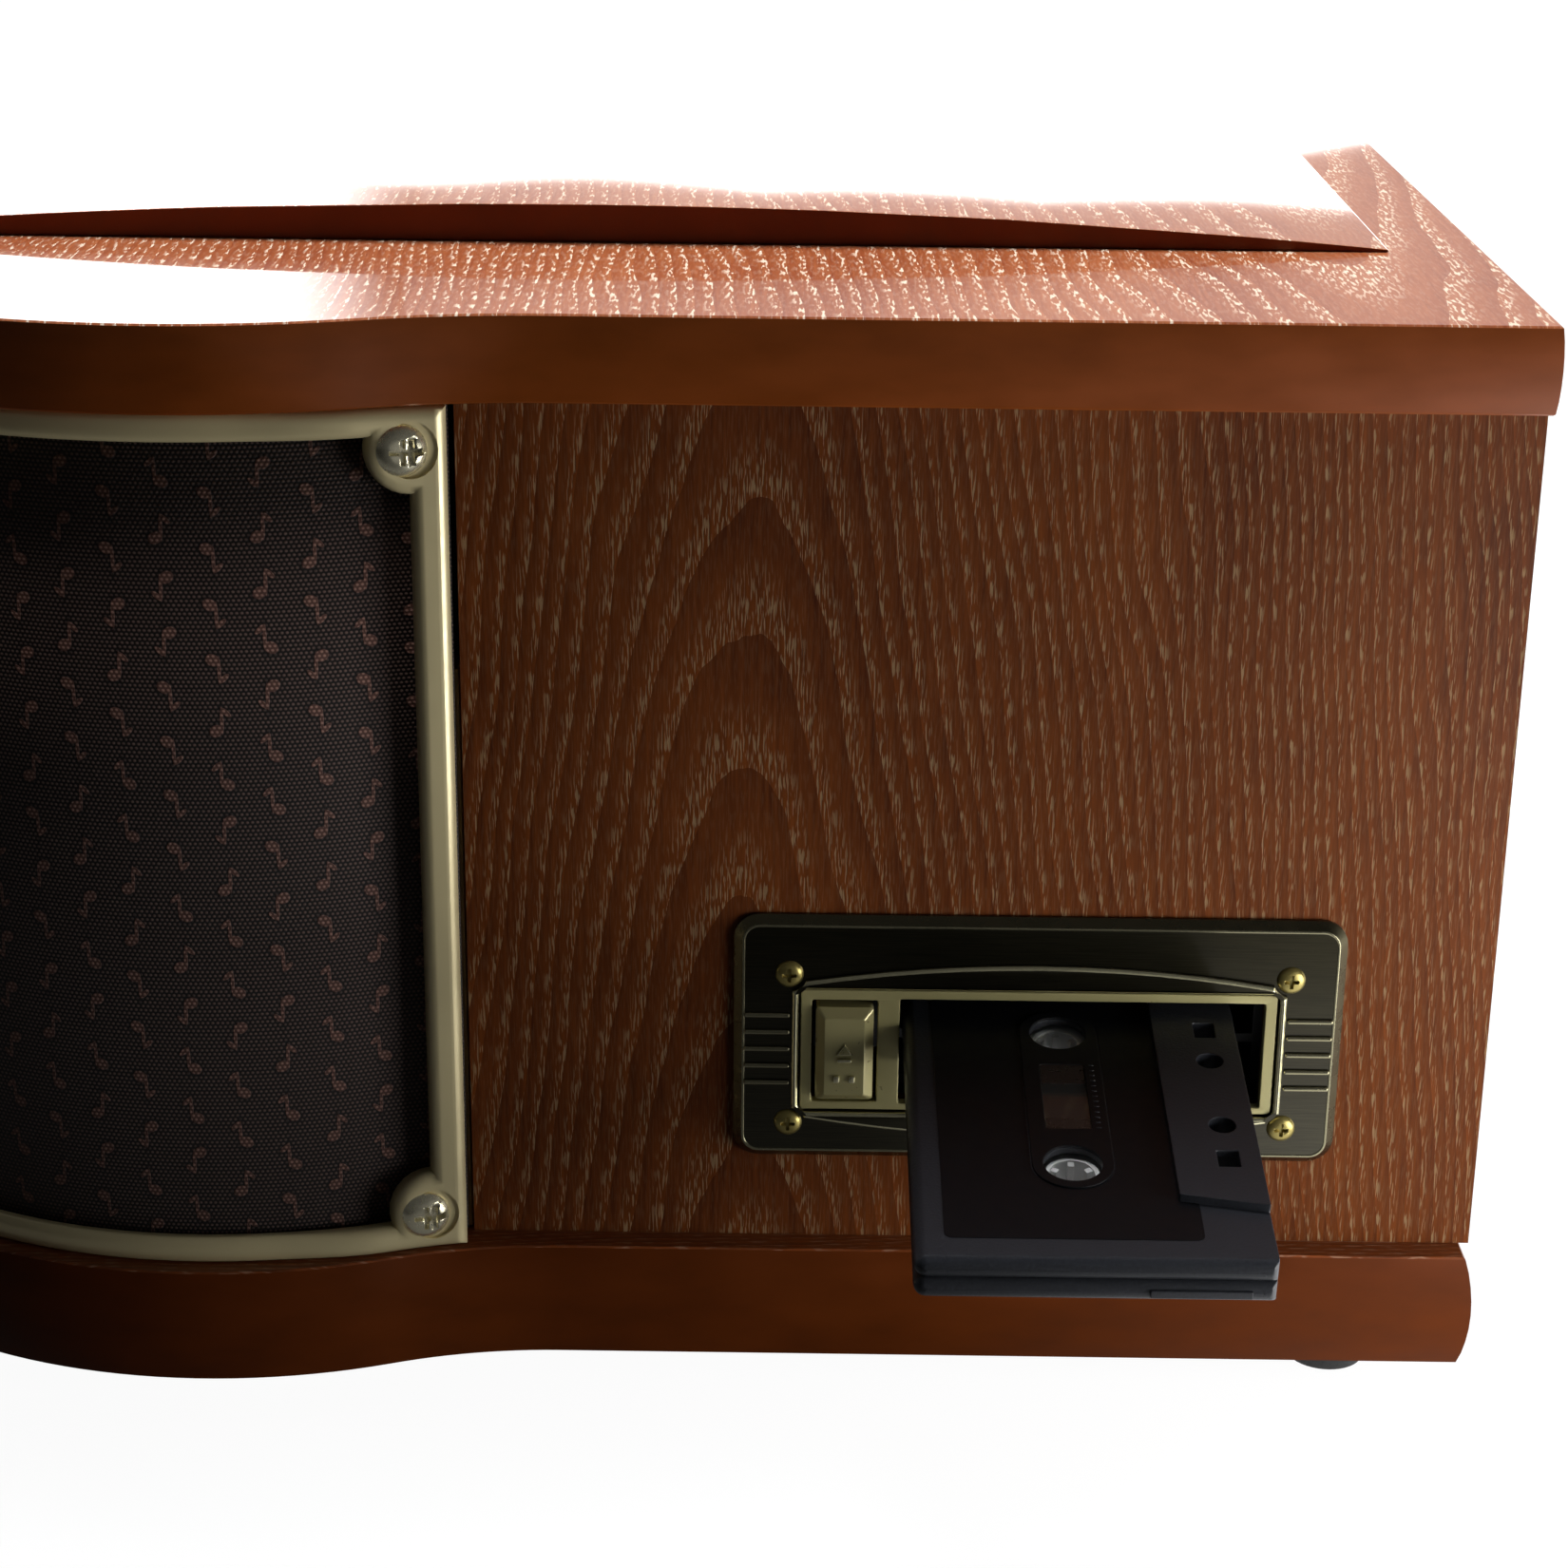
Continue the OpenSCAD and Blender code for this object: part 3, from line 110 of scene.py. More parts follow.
world = bpy.data.worlds.new("studio")
world.use_nodes = True
bpy.context.scene.world = world
sky = world.node_tree
sky.nodes.clear()
ray = add(sky, "ShaderNodeLightPath")
direction = add(sky, "ShaderNodeSeparateXYZ", i0=add(sky, "ShaderNodeTexCoord").outputs["Generated"])
bright_side = add(sky, "ShaderNodeMapRange", {"interpolation_type": "SMOOTHSTEP"},
                  Value=direction.outputs["X"], From_Min=0.3, From_Max=-0.6, To_Min=0.06, To_Max=0.25)
ambient = add(sky, "ShaderNodeBackground", Strength=0.012)
white = add(sky, "ShaderNodeBackground", Strength=1.0)
mirrored = add(sky, "ShaderNodeBackground", Strength=bright_side)
lit = add(sky, "ShaderNodeMixShader", i0=ray.outputs["Is Glossy Ray"], i1=ambient, i2=mirrored)
shown = add(sky, "ShaderNodeMixShader", i0=ray.outputs["Is Camera Ray"], i1=lit, i2=white)
add(sky, "ShaderNodeOutputWorld", Surface=shown)

# Floor: white paper, which shows as white and keeps the object's soft shadow. It throws little light back.
# To glossy rays it shows a painted pool of light instead: it glows beside the right rear corner, where the
# key falls on it, and is dark elsewhere, so that metal mirrors a bright patch there.


def finish_tree(name):
    """A new material and its empty node tree."""
    made = bpy.data.materials.new(name)
    made.use_nodes = True
    made.node_tree.nodes.clear()
    return made, made.node_tree


floor_half, painted_pool_power = 20, 1.9
floor_mesh = bpy.data.meshes.new("floor")
floor_mesh.from_pydata([(x * floor_half, y * floor_half, 0) for x, y in ((-1, -1), (1, -1), (1, 1), (-1, 1))],
                       [], [(0, 1, 2, 3)])
in_scene("floor", floor_mesh)
paper, sheet = finish_tree("matt_white_paper")
paper_ray = add(sheet, "ShaderNodeLightPath")
paper_place = add(sheet, "ShaderNodeTexCoord").outputs["Object"]
paper_matt = add(sheet, "ShaderNodeBsdfDiffuse", Color=(0.86, 0.86, 0.86, 1))
paper_far = add(sheet, "ShaderNodeVectorMath", {"operation": "LENGTH"}, i0=paper_place)
paper_level = add(sheet, "ShaderNodeMapRange", Value=paper_far.outputs["Value"], From_Min=0.35, From_Max=1.4,
                  To_Min=1.12, To_Max=1.25)
paper_glow = add(sheet, "ShaderNodeEmission", Strength=paper_level)
paper_seen = add(sheet, "ShaderNodeMixShader", i0=0.85, i1=paper_matt, i2=paper_glow)
paper_dim = add(sheet, "ShaderNodeBsdfDiffuse", Color=(0.05, 0.05, 0.05, 1))
paper_axes = add(sheet, "ShaderNodeSeparateXYZ", i0=paper_place)
# Painted light: an emission seen only by glossy rays, fading out from the right rear corner, paints the key's
# pool of light on the floor.
painted_pool_x = add(sheet, "ShaderNodeMapRange", {"interpolation_type": "SMOOTHSTEP"}, Value=paper_axes.outputs["X"],
             From_Min=right_hi.x + 0.25, From_Max=right_hi.x + 0.08, To_Min=0.1)
painted_pool_y = add(sheet, "ShaderNodeMapRange", {"interpolation_type": "SMOOTHSTEP"}, Value=paper_axes.outputs["Y"],
             From_Min=rear_y - 0.12, From_Max=rear_y + 0.02, To_Min=0.05)
painted_key_pool = add(sheet, "ShaderNodeMath", {"operation": "MULTIPLY"}, i0=painted_pool_x, i1=painted_pool_y)
painted_pool_glow = add(sheet, "ShaderNodeEmission", Strength=add(
    sheet, "ShaderNodeMath", {"operation": "MULTIPLY"}, i0=painted_key_pool, i1=painted_pool_power))
paper_other = add(sheet, "ShaderNodeMixShader", i0=paper_ray.outputs["Is Glossy Ray"], i1=paper_dim,
                  i2=painted_pool_glow)
paper_mix = add(sheet, "ShaderNodeMixShader", i0=paper_ray.outputs["Is Camera Ray"], i1=paper_other,
                i2=paper_seen)
add(sheet, "ShaderNodeOutputMaterial", Surface=paper_mix)
floor_mesh.materials.append(paper)

# Lamps: soft boxes. Each has its place and its aim from the rear edge of the right side's mid-height, its
# size, and its power in watts. The key stands low behind the right rear corner and grazes the side. Only
# the key shows in mirrors.
lamp_from = Vector((right_hi.x, rear_y, panel_z + side_h / 2))
for name, place, aim, size, power in (
        ("rear_right_key", (0.14, 0.13, -0.06), (0, -0.08, -0.02), (0.18, 0.18), 1.0),
        ("top_box", (-0.42, -0.1, 1.0), (-0.3, -0.15, 0.1), (0.6, 0.7), 22),
        ("side_fill", (0.9, -0.5, 0.5), (0, -0.15, 0), (0.5, 0.5), 0.06),
        ("left_fill", (-1.5, -0.35, 0.5), (-0.5, -0.15, 0), (0.6, 0.6), 6),
        ("front_fill", (-1.5, -1.6, 0.4), (-0.3, -0.3, 0), (0.6, 0.6), 6),
        ("rear_fill", (-0.6, 1.3, 0.4), (-0.3, 0, 0), (0.6, 0.6), 6)):
    data = bpy.data.lights.new(name, "AREA")
    data.shape = "RECTANGLE"
    data.size, data.size_y = size
    data.energy = power
    lamp = in_scene(name, data)
    spot = lamp_from + Vector(place)
    turn = (lamp_from + Vector(aim) - spot).to_track_quat("-Z", "Y")
    lamp.matrix_world = Matrix.Translation(spot) @ turn.to_matrix().to_4x4()
    lamp.visible_camera = False
    lamp.visible_glossy = name.endswith("key")

# Cards: two white boards far behind the object's left side. The polished lid mirrors them at a low angle,
# so its far part goes white, and its near left too, with a soft edge along Y. Places are metres from the
# lid's top edge.
card_away, card_step, card_power = 3.0, 0.02, 3.2
lid_top = top_z + 16.7 * MM
for name, step, fade, corners in (
        ("far_card", 0, None, ((-2.2, -0.1), (3, -0.1), (3, 0.3), (0.7, 0.385), (0.59, 0.408), (0.538, 0.42),
                               (0.189, 0.483), (-0.163, 0.507), (-0.59, 0.485), (-0.98, 0.44), (-2.2, 0.3))),
        ("left_card", card_step, (-0.59, -0.76), ((-2.2, 0.2), (-0.59, 0.2), (-0.59, 0.86), (-2.2, 0.86)))):
    card_mesh = bpy.data.meshes.new(name)
    card_mesh.from_pydata([(right_hi.x - card_away - step, rear_y + y, lid_top + z) for y, z in corners], [],
                          [tuple(range(len(corners)))])
    card = in_scene(name, card_mesh)
    card.visible_camera = card.visible_diffuse = card.visible_shadow = card.visible_transmission = False
    card_paint, tree = finish_tree(name + "_glow")
    strength = card_power
    if fade:
        along = add(tree, "ShaderNodeSeparateXYZ", i0=add(tree, "ShaderNodeTexCoord").outputs["Object"])
        strength = add(tree, "ShaderNodeMapRange", {"interpolation_type": "SMOOTHSTEP"},
                       Value=along.outputs["Y"], From_Min=rear_y + fade[0], From_Max=rear_y + fade[1],
                       To_Max=card_power)
    add(tree, "ShaderNodeOutputMaterial", Surface=add(tree, "ShaderNodeEmission", Strength=strength))
    card_mesh.materials.append(card_paint)

# Side panels: 12 mm board veneered with sliced ash, grain upright, stained red-brown and thinly lacquered,
# so that the pores stay open. They stand on the base board between the grilles and the rear panel.


def srgb(text, alpha=1.0):
    """A colour written as sRGB hex, as linear numbers."""
    parts = [int(text[i:i + 2], 16) / 255 for i in (1, 3, 5)]
    return tuple(p / 12.92 if p <= 0.04045 else ((p + 0.055) / 1.055) ** 2.4 for p in parts) + (alpha,)


def veneer(name, along, across, heart, dark, light, pore, rough, coat, ring=5.2, taper=0.2, depth=18.0,
           pore_share=0.6, across_share=3.0, coat_rough=0.15, sheen=0.25, pore_deep=0.05):
    """Sliced ash, stained and lacquered: rings cut at a slant make arches; rows of open pores show pale."""
    wander, tighten, slow_run, pore_run, fibre_run = 18.0, 0.0045, 0.35, 0.26, 0.05
    made, tree = finish_tree(name)
    place = add(tree, "ShaderNodeVectorMath", {"operation": "SCALE"},
                i0=add(tree, "ShaderNodeTexCoord").outputs["Object"], Scale=1 / MM)
    axes = add(tree, "ShaderNodeSeparateXYZ", i0=place)
    run, width = axes.outputs[along], axes.outputs[across]
    slow_place = add(tree, "ShaderNodeCombineXYZ", i0=width, i1=add(
        tree, "ShaderNodeMath", {"operation": "MULTIPLY"}, i0=run, i1=slow_run))
    slow = add(tree, "ShaderNodeTexNoise", Vector=slow_place, Scale=0.022, Detail=2.0)
    drift = add(tree, "ShaderNodeMath", {"operation": "MULTIPLY_ADD"}, i0=slow.outputs["Fac"], i1=wander,
                i2=-wander / 2 - heart)
    offset = add(tree, "ShaderNodeMath", {"operation": "ADD"}, i0=width, i1=drift)
    square = add(tree, "ShaderNodeMath", {"operation": "MULTIPLY_ADD"}, i0=offset,
                 i1=offset, i2=depth * depth)
    radius = add(tree, "ShaderNodeMath", {"operation": "SQRT"}, i0=square)
    tighter = add(tree, "ShaderNodeMath", {"operation": "MULTIPLY_ADD"}, i0=square, i1=tighten,
                  i2=radius)
    cone = add(tree, "ShaderNodeMath", {"operation": "MULTIPLY_ADD"}, i0=run, i1=taper, i2=tighter)
    ripple = add(tree, "ShaderNodeTexNoise", Vector=slow_place, Scale=0.11, Detail=3.0)
    field = add(tree, "ShaderNodeMath", {"operation": "MULTIPLY_ADD"}, i0=ripple.outputs["Fac"], i1=2.0,
                i2=cone)
    rings = add(tree, "ShaderNodeMath", {"operation": "FRACT"}, i0=add(
        tree, "ShaderNodeMath", {"operation": "DIVIDE"}, i0=field, i1=ring))
    early = add(tree, "ShaderNodeMapRange", {"interpolation_type": "SMOOTHSTEP"}, Value=rings,
                From_Min=0.62, From_Max=0.12, To_Min=0.1, To_Max=1.0)
    pore_place = add(tree, "ShaderNodeCombineXYZ", i0=add(
        tree, "ShaderNodeMath", {"operation": "MULTIPLY"}, i0=width, i1=across_share), i1=add(
        tree, "ShaderNodeMath", {"operation": "MULTIPLY"}, i0=run, i1=pore_run))
    cells = add(tree, "ShaderNodeTexNoise", Vector=pore_place, Scale=1.0, Detail=1.5)
    pits = add(tree, "ShaderNodeMapRange", {"interpolation_type": "SMOOTHSTEP"}, Value=cells.outputs["Fac"],
               From_Min=0.5, From_Max=0.62)
    pores = add(tree, "ShaderNodeMath", {"operation": "MULTIPLY"}, i0=pits, i1=early)
    fibre_place = add(tree, "ShaderNodeCombineXYZ", i0=width, i1=add(
        tree, "ShaderNodeMath", {"operation": "MULTIPLY"}, i0=run, i1=fibre_run))
    fibre = add(tree, "ShaderNodeTexNoise", Vector=fibre_place, Scale=1.4, Detail=3.0)
    shade = add(tree, "ShaderNodeMath", {"operation": "MULTIPLY_ADD"}, i0=fibre.outputs["Fac"], i1=0.9,
                i2=add(tree, "ShaderNodeMath", {"operation": "MULTIPLY_ADD"}, i0=rings, i1=-0.34,
                       i2=add(tree, "ShaderNodeMath", {"operation": "MULTIPLY_ADD"}, i0=slow.outputs["Fac"],
                              i1=0.8, i2=-0.15)))
    wood = add(tree, "ShaderNodeMix", {"data_type": "RGBA", "clamp_factor": True}, i0=shade,
               i6=srgb(dark), i7=srgb(light))
    share = add(tree, "ShaderNodeMath", {"operation": "MULTIPLY"}, i0=pores, i1=pore_share)
    colour = add(tree, "ShaderNodeMix", {"data_type": "RGBA"}, i0=share, i6=wood.outputs[2],
                 i7=srgb(pore))
    gloss = add(tree, "ShaderNodeMapRange", Value=pores, To_Min=rough, To_Max=min(1, rough + 0.3))
    bump = add(tree, "ShaderNodeBump", {"invert": True}, Strength=1.0, Distance=pore_deep * MM,
               Height=pores)
    shader = add(tree, "ShaderNodeBsdfPrincipled", Base_Color=colour.outputs[2], Roughness=gloss,
                 Coat_Weight=coat, Coat_Roughness=coat_rough, Specular_IOR_Level=sheen, Normal=bump)
    add(tree, "ShaderNodeOutputMaterial", Surface=shader)
    return made


side_veneer = veneer("red_brown_ash_veneer", "Z", "Y", (rear_y - 0.146) / MM, "#391507", "#7c4118", "#a38a66",
                     0.5, 0.0, sheen=0.12)
for node in ("right_side_panel", "left_side_panel"):
    panel_mesh = frame["nodes"][node].data
    panel_mesh.materials.clear()
    panel_mesh.materials.append(side_veneer)

# Outline of the cabinet in plan: straight side, hollow curve, round corner and bowed front, all tangent.
# The driving sizes are those of the boards' plan, and s runs along the right half from the rear edge.
flare, flare_r, corner_r, corner_y, bow_r = (v * MM for v in (12.8, 100, 97, 252, 1300))
corner_x = half_w + flare - corner_r
flare_turn = math.acos((flare_r + corner_r - flare) / (flare_r + corner_r))
flare_y = corner_y - (flare_r + corner_r) * math.sin(flare_turn)
bow_y = math.sqrt((bow_r - corner_r) ** 2 - corner_x ** 2) - corner_y
bow_turn = math.atan2(-(corner_y + bow_y), corner_x)
hollow_end = flare_y + flare_r * flare_turn
corner_end = hollow_end + corner_r * (flare_turn - bow_turn)
front_mid = corner_end + bow_r * (bow_turn + math.pi / 2)


def outline(s, g):
    """The point x, y at length s along the right half of the outline, grown outwards by g."""
    if s <= flare_y:
        return half_w + g, -s
    if s <= hollow_end:
        turn = (s - flare_y) / flare_r
        reach = flare_r - g
        return half_w + flare_r - reach * math.cos(turn), -flare_y - reach * math.sin(turn)
    if s <= corner_end:
        turn = flare_turn - (s - hollow_end) / corner_r
        return corner_x + (corner_r + g) * math.cos(turn), -corner_y + (corner_r + g) * math.sin(turn)
    turn = bow_turn - (s - corner_end) / bow_r
    return (bow_r + g) * math.cos(turn), bow_y + (bow_r + g) * math.sin(turn)


def board_loop(g, z, widest):
    """A whole outline at height z, from the rear right round the front to the rear left."""
    steps = [0.0, flare_y * 0.5, flare_y] + [flare_y + (hollow_end - flare_y) * i / 12 for i in range(1, 12)]
    steps += [hollow_end + (corner_end - hollow_end) * i / 48 for i in range(48)]
    steps += [corner_end + (front_mid - corner_end) * i / 24 for i in range(25)]
    half = [outline(s, g) for s in steps]
    half[0] = (half[0][0], g - widest)
    loop = half + [(-x, y) for x, y in reversed(half[:-1])]
    return [(mid_x + x, rear_y + y, z) for x, y in loop]


# Base board: solid wood, its edge moulded to a shallow round with a crisp arris, stained brown and
# lacquered. The ledge round the cabinet has the side panels' veneer. Everything is screwed down onto it.


def material(name, base, rough, metal=0.0, coat=0.0, coat_rough=0.05, speck=0.5, grain=(1, 1, 1), depth=0.0,
             vary=0.0, **more):
    """A finish with an even base colour, broken up by a fine grain. grain is cells per metre times speck."""
    made, tree = finish_tree(name)
    place = add(tree, "ShaderNodeMapping", Vector=add(tree, "ShaderNodeTexCoord").outputs["Object"],
                Scale=grain)
    noise = add(tree, "ShaderNodeTexNoise", Vector=place, Scale=1000 / speck, Detail=3.0)
    tone = add(tree, "ShaderNodeMapRange", Value=noise.outputs["Fac"], From_Min=0.3, From_Max=0.7,
               To_Min=1 - vary, To_Max=1 + vary)
    colour = add(tree, "ShaderNodeVectorMath", {"operation": "SCALE"}, i0=srgb(base)[:3], Scale=tone)
    gloss = add(tree, "ShaderNodeMapRange", Value=noise.outputs["Fac"], From_Min=0.3, From_Max=0.7,
                To_Min=rough * 0.85, To_Max=rough * 1.15)
    bump = add(tree, "ShaderNodeBump", Strength=1.0, Distance=depth * MM, Height=noise.outputs["Fac"])
    shader = add(tree, "ShaderNodeBsdfPrincipled", Base_Color=colour, Roughness=gloss,
                 Metallic=metal, Coat_Weight=coat, Coat_Roughness=coat_rough, Normal=bump, **more)
    add(tree, "ShaderNodeOutputMaterial", Surface=shader)
    return made


def loft(name, loops, bands, caps=True, closed=False):
    """A skin over loops of equal count, from the lowest up, with the material of each band."""
    mesh = bpy.data.meshes.new(name)
    bm = bmesh.new()
    rows = [[bm.verts.new(co) for co in loop] for loop in loops]
    count = len(loops[0])
    pairs = list(zip(rows, rows[1:])) + ([(rows[-1], rows[0])] if closed else [])
    for (low, high), band in zip(pairs, bands):
        for i in range(count):
            j = (i + 1) % count
            bm.faces.new((low[i], low[j], high[j], high[i])).material_index = band
    if caps and not closed:
        bm.faces.new(rows[0]).material_index = bands[0]
        bm.faces.new(rows[-1]).material_index = bands[-1]
    bmesh.ops.recalc_face_normals(bm, faces=bm.faces)
    bm.to_mesh(mesh)
    bm.free()
    return mesh


def plain_mesh(source):
    """The mesh of an object once its modifiers or its curve are worked out."""
    bpy.context.view_layer.update()
    return bpy.data.meshes.new_from_object(source.evaluated_get(bpy.context.evaluated_depsgraph_get()))


def piece(name, mesh, finishes, body, stands_for=(), smooth=35):
    """Puts a mesh into the scene as one piece of the object, with its finishes and body, and hides the CAD
    parts it stands for.
    """
    made = in_scene(name, mesh)
    for finish in finishes:
        if finish.name not in mesh.materials:
            mesh.materials.append(finish)
    mesh.shade_smooth()
    mesh.set_sharp_from_angle(angle=math.radians(smooth))
    even = made.modifiers.new("weighted_normals", "WEIGHTED_NORMAL")
    even.keep_sharp, even.weight = True, 100
    made.data = plain_mesh(made)
    made.modifiers.clear()
    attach(made, body)
    if stands_for:
        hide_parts(*stands_for)
    return made


def board(name, node, edge_round, under, steps):
    """A board over the whole outline, its edge a shallow round between two arrises, its top in material 1."""
    low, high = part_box(node)
    loops = [board_loop(base_g - under, low.z, base_g)]
    for i in range(steps):
        t = i / (steps - 1)
        loops.append(board_loop(base_g - edge_round * (2 * t - 1) ** 2,
                                low.z + (high.z - low.z) * t + arris * ((t == 0) - (t == 1)), base_g))
    loops.append(board_loop(base_g - edge_round - arris, high.z, base_g))
    return loft(name, loops, [0] * steps + [1])


base_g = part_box("base_board")[1].x - mid_x - half_w - flare
base_round, base_under, arris = 1.7 * MM, 3 * MM, 0.35 * MM
base_stain = material("dark_brown_stained_edge", "#5e2a08", 0.42, speck=18, grain=(1, 1, 2.5), vary=0.14,
                      Specular_IOR_Level=0.12)
ledge_veneer = veneer("ledge_ash_veneer", "Y", "X", mid_x / MM, "#4a2008", "#964c1e", "#b08a70", 0.4, 0.2)
piece("base_board_moulded", board("base_board_moulded", "base_board", base_round, base_under, 9),
      (base_stain, ledge_veneer), "cabinet", ("base_board",))

# Lid board: the same plan and edge, 16 mm thick, its top veneered with the grain across the cabinet and
# polished to a high gloss. Its veneer is written far paler than the sides', with near-white pores: painted
# sheen, for the light that the polished top catches. It is hinged at the rear.
lid_round = 0.5 * MM
edge_stain = material("brown_stained_lacquered_edge", "#843f0e", 0.36, coat=0.2, coat_rough=0.2, speck=18,
                      grain=(1, 1, 2.5), vary=0.14, Specular_IOR_Level=0.3)
# Painted sheen: the lid's veneer colours are paler copies of the sides' ash, and its pores are near white.
lid_veneer_paled_for_sheen = veneer("polished_ash_veneer_paled_for_sheen", "X", "Y", (rear_y - 0.03) / MM, "#92401f", "#cc7d50", "#ffe8d0",
                    0.35, 1.0, ring=7.0, taper=0.10, depth=22.0, pore_share=1.0, across_share=1.5,
                    coat_rough=0.03, sheen=0.5)
piece("lid_board_moulded", board("lid_board_moulded", "lid_board", lid_round, lid_round + arris, 7),
      (edge_stain, lid_veneer_paled_for_sheen), "lid", ("lid_board",))

# Bowed panel on the lid: a raised field, veneered like the lid on top, painted sheen included, with dark
# stained walls. It is glued onto the lid board.


def dressed(name, node, finishes, width=0.3, pick=None, first=None, smooth=35, tools=()):
    """A copy of a CAD node, its flat faces joined and its sharp edges eased by width millimetres. first is a
    wider easing: its width, its segments and which vertices have it. tools are solids cut out of it."""
    bm = bmesh.new()
    bm.from_mesh(frame["nodes"][node].data)
    bmesh.ops.remove_doubles(bm, verts=bm.verts, dist=0.004 * MM)
    bmesh.ops.dissolve_limit(bm, angle_limit=math.radians(0.8), verts=bm.verts, edges=bm.edges)
    if first:
        chosen = [e for e in bm.edges if len(e.link_faces) == 2 and e.calc_face_angle(0) > math.radians(38)
                  and all(first[2](v.co) for v in e.verts)]
        bmesh.ops.bevel(bm, geom=chosen, offset=first[0] * MM, segments=first[1], profile=0.5, affect="EDGES",
                        clamp_overlap=False)
    if width:
        sharp = [e for e in bm.edges if len(e.link_faces) == 2 and e.calc_face_angle(0) > math.radians(38)]
        bmesh.ops.bevel(bm, geom=sharp, offset=width * MM, segments=2, profile=0.6, affect="EDGES",
                        clamp_overlap=False)
    bm.normal_update()
    if pick:
        for face in bm.faces:
            face.material_index = pick(face)
    mesh = bpy.data.meshes.new(name)
    bm.to_mesh(mesh)
    bm.free()
    record = frame["record"]
    for tool in tools:
        mesh = cut_away(mesh, tool)
    owner = next(b for b, nodes in record["behaviour"]["bodies"].items() if node in nodes)
    return piece(name, mesh, finishes, owner, (node,), smooth)


wall_stain = material("dark_stained_wall", "#6a2f10", 0.4, speck=14, vary=0.12, Specular_IOR_Level=0.15)
dressed("bowed_panel", "lid_crown", (wall_stain, lid_veneer_paled_for_sheen), 0.35, lambda f: 1 if f.normal.z > 0.8 else 0)


# Grille frames: cast metal bars with a round face, wrapped round the front corners and sprayed satin
# champagne gold. Screw ears fill their corners. They clamp the speaker cloth to the cabinet. The rails thin
# down between the ears.


def ring(cx, cy, r, steps=40):
    """A circle as points, in metres."""
    turns = [math.tau * i / steps for i in range(steps)]
    return [(cx + r * math.cos(turn), cy + r * math.sin(turn)) for turn in turns]


def cut_plate(name, outer, holes, low, high, edge, steps=3):
    """A flat plate from z = low to high with holes. Its edges are rounded by edge, or chamfered if steps is
    0. Material 1 goes onto the eased edges."""
    data = bpy.data.curves.new(name, "CURVE")
    data.dimensions = "2D"
    data.fill_mode = "BOTH"
    data.extrude = (high - low) / 2 - edge
    data.bevel_depth = edge
    data.bevel_resolution = steps
    data.offset = -edge
    for loop in [outer] + list(holes):
        line = data.splines.new("POLY")
        line.points.add(len(loop) - 1)
        for point, (x, y) in zip(line.points, loop):
            point.co = (x, y, 0, 1)
        line.use_cyclic_u = True
    holder = in_scene(name, data)
    mesh = plain_mesh(holder)
    bpy.data.objects.remove(holder)
    bpy.data.curves.remove(data)
    bm = bmesh.new()
    bm.from_mesh(mesh)
    bmesh.ops.remove_doubles(bm, verts=bm.verts, dist=0.003 * MM)
    bmesh.ops.recalc_face_normals(bm, faces=bm.faces)
    for face in bm.faces:
        face.material_index = 1 if 0.03 < face.normal.z < 0.97 else 0
    bmesh.ops.translate(bm, verts=bm.verts, vec=(0, 0, (high + low) / 2))
    bm.to_mesh(mesh)
    bm.free()
    mesh.name = name
    return mesh


def window_corner(ear, edge, su, sv, r):
    """A corner as an arc round a screw ear, from the rail's edge to the bar's edge."""
    (cu, cv), (eu, ev) = ear, edge
    on_rail = (cu + su * math.sqrt(r ** 2 - (ev - cv) ** 2), ev)
    on_bar = (eu, cv + sv * math.sqrt(r ** 2 - (eu - cu) ** 2))
    first = math.atan2(on_rail[1] - cv, on_rail[0] - cu)
    last = math.atan2(on_bar[1] - cv, on_bar[0] - cu)
    sweep = (last - first + math.pi) % math.tau - math.pi
    return [(cu + r * math.cos(first + sweep * i / 8), cv + r * math.sin(first + sweep * i / 8))
            for i in range(9)]


def cut_away(mesh, tool):
    """The mesh less the tool's solid, by an exact Boolean."""
    pair = [in_scene(word, data) for word, data in (("kept", mesh), ("tool", tool))]
    cut = pair[0].modifiers.new("cut", "BOOLEAN")
    cut.operation, cut.solver, cut.object = "DIFFERENCE", "EXACT", pair[1]
    result = plain_mesh(pair[0])
    for part in pair:
        bpy.data.objects.remove(part)
    return result


def along_outline(mesh, side):
    """Bends a flat mesh (x along the outline, y up, z outwards) round the cabinet, thin between the ears."""
    bm = bmesh.new()
    bm.from_mesh(mesh)
    start, stop = min(v.co.x for v in bm.verts), max(v.co.x for v in bm.verts)
    cuts = int((stop - start) / bend_step)
    for i in range(1, cuts):
        bmesh.ops.bisect_plane(bm, geom=bm.verts[:] + bm.edges[:] + bm.faces[:], dist=1e-7,
                               plane_co=(start + (stop - start) * i / cuts, 0, 0), plane_no=(1, 0, 0))
    for v in bm.verts:
        from_end = min(v.co.x - grille_s, grille_end - v.co.x)
        share = min(max((from_end - thin_from) / thin_over, 0), 1)
        thin = grille_thinned * share * share * (3 - 2 * share) / grille_out
        x, y = outline(v.co.x, v.co.z * (1 - thin))
        v.co = (mid_x + side * x, rear_y + y, panel_z + v.co.y)
    bmesh.ops.recalc_face_normals(bm, faces=bm.faces)
    bm.to_mesh(mesh)
    bm.free()
    return mesh


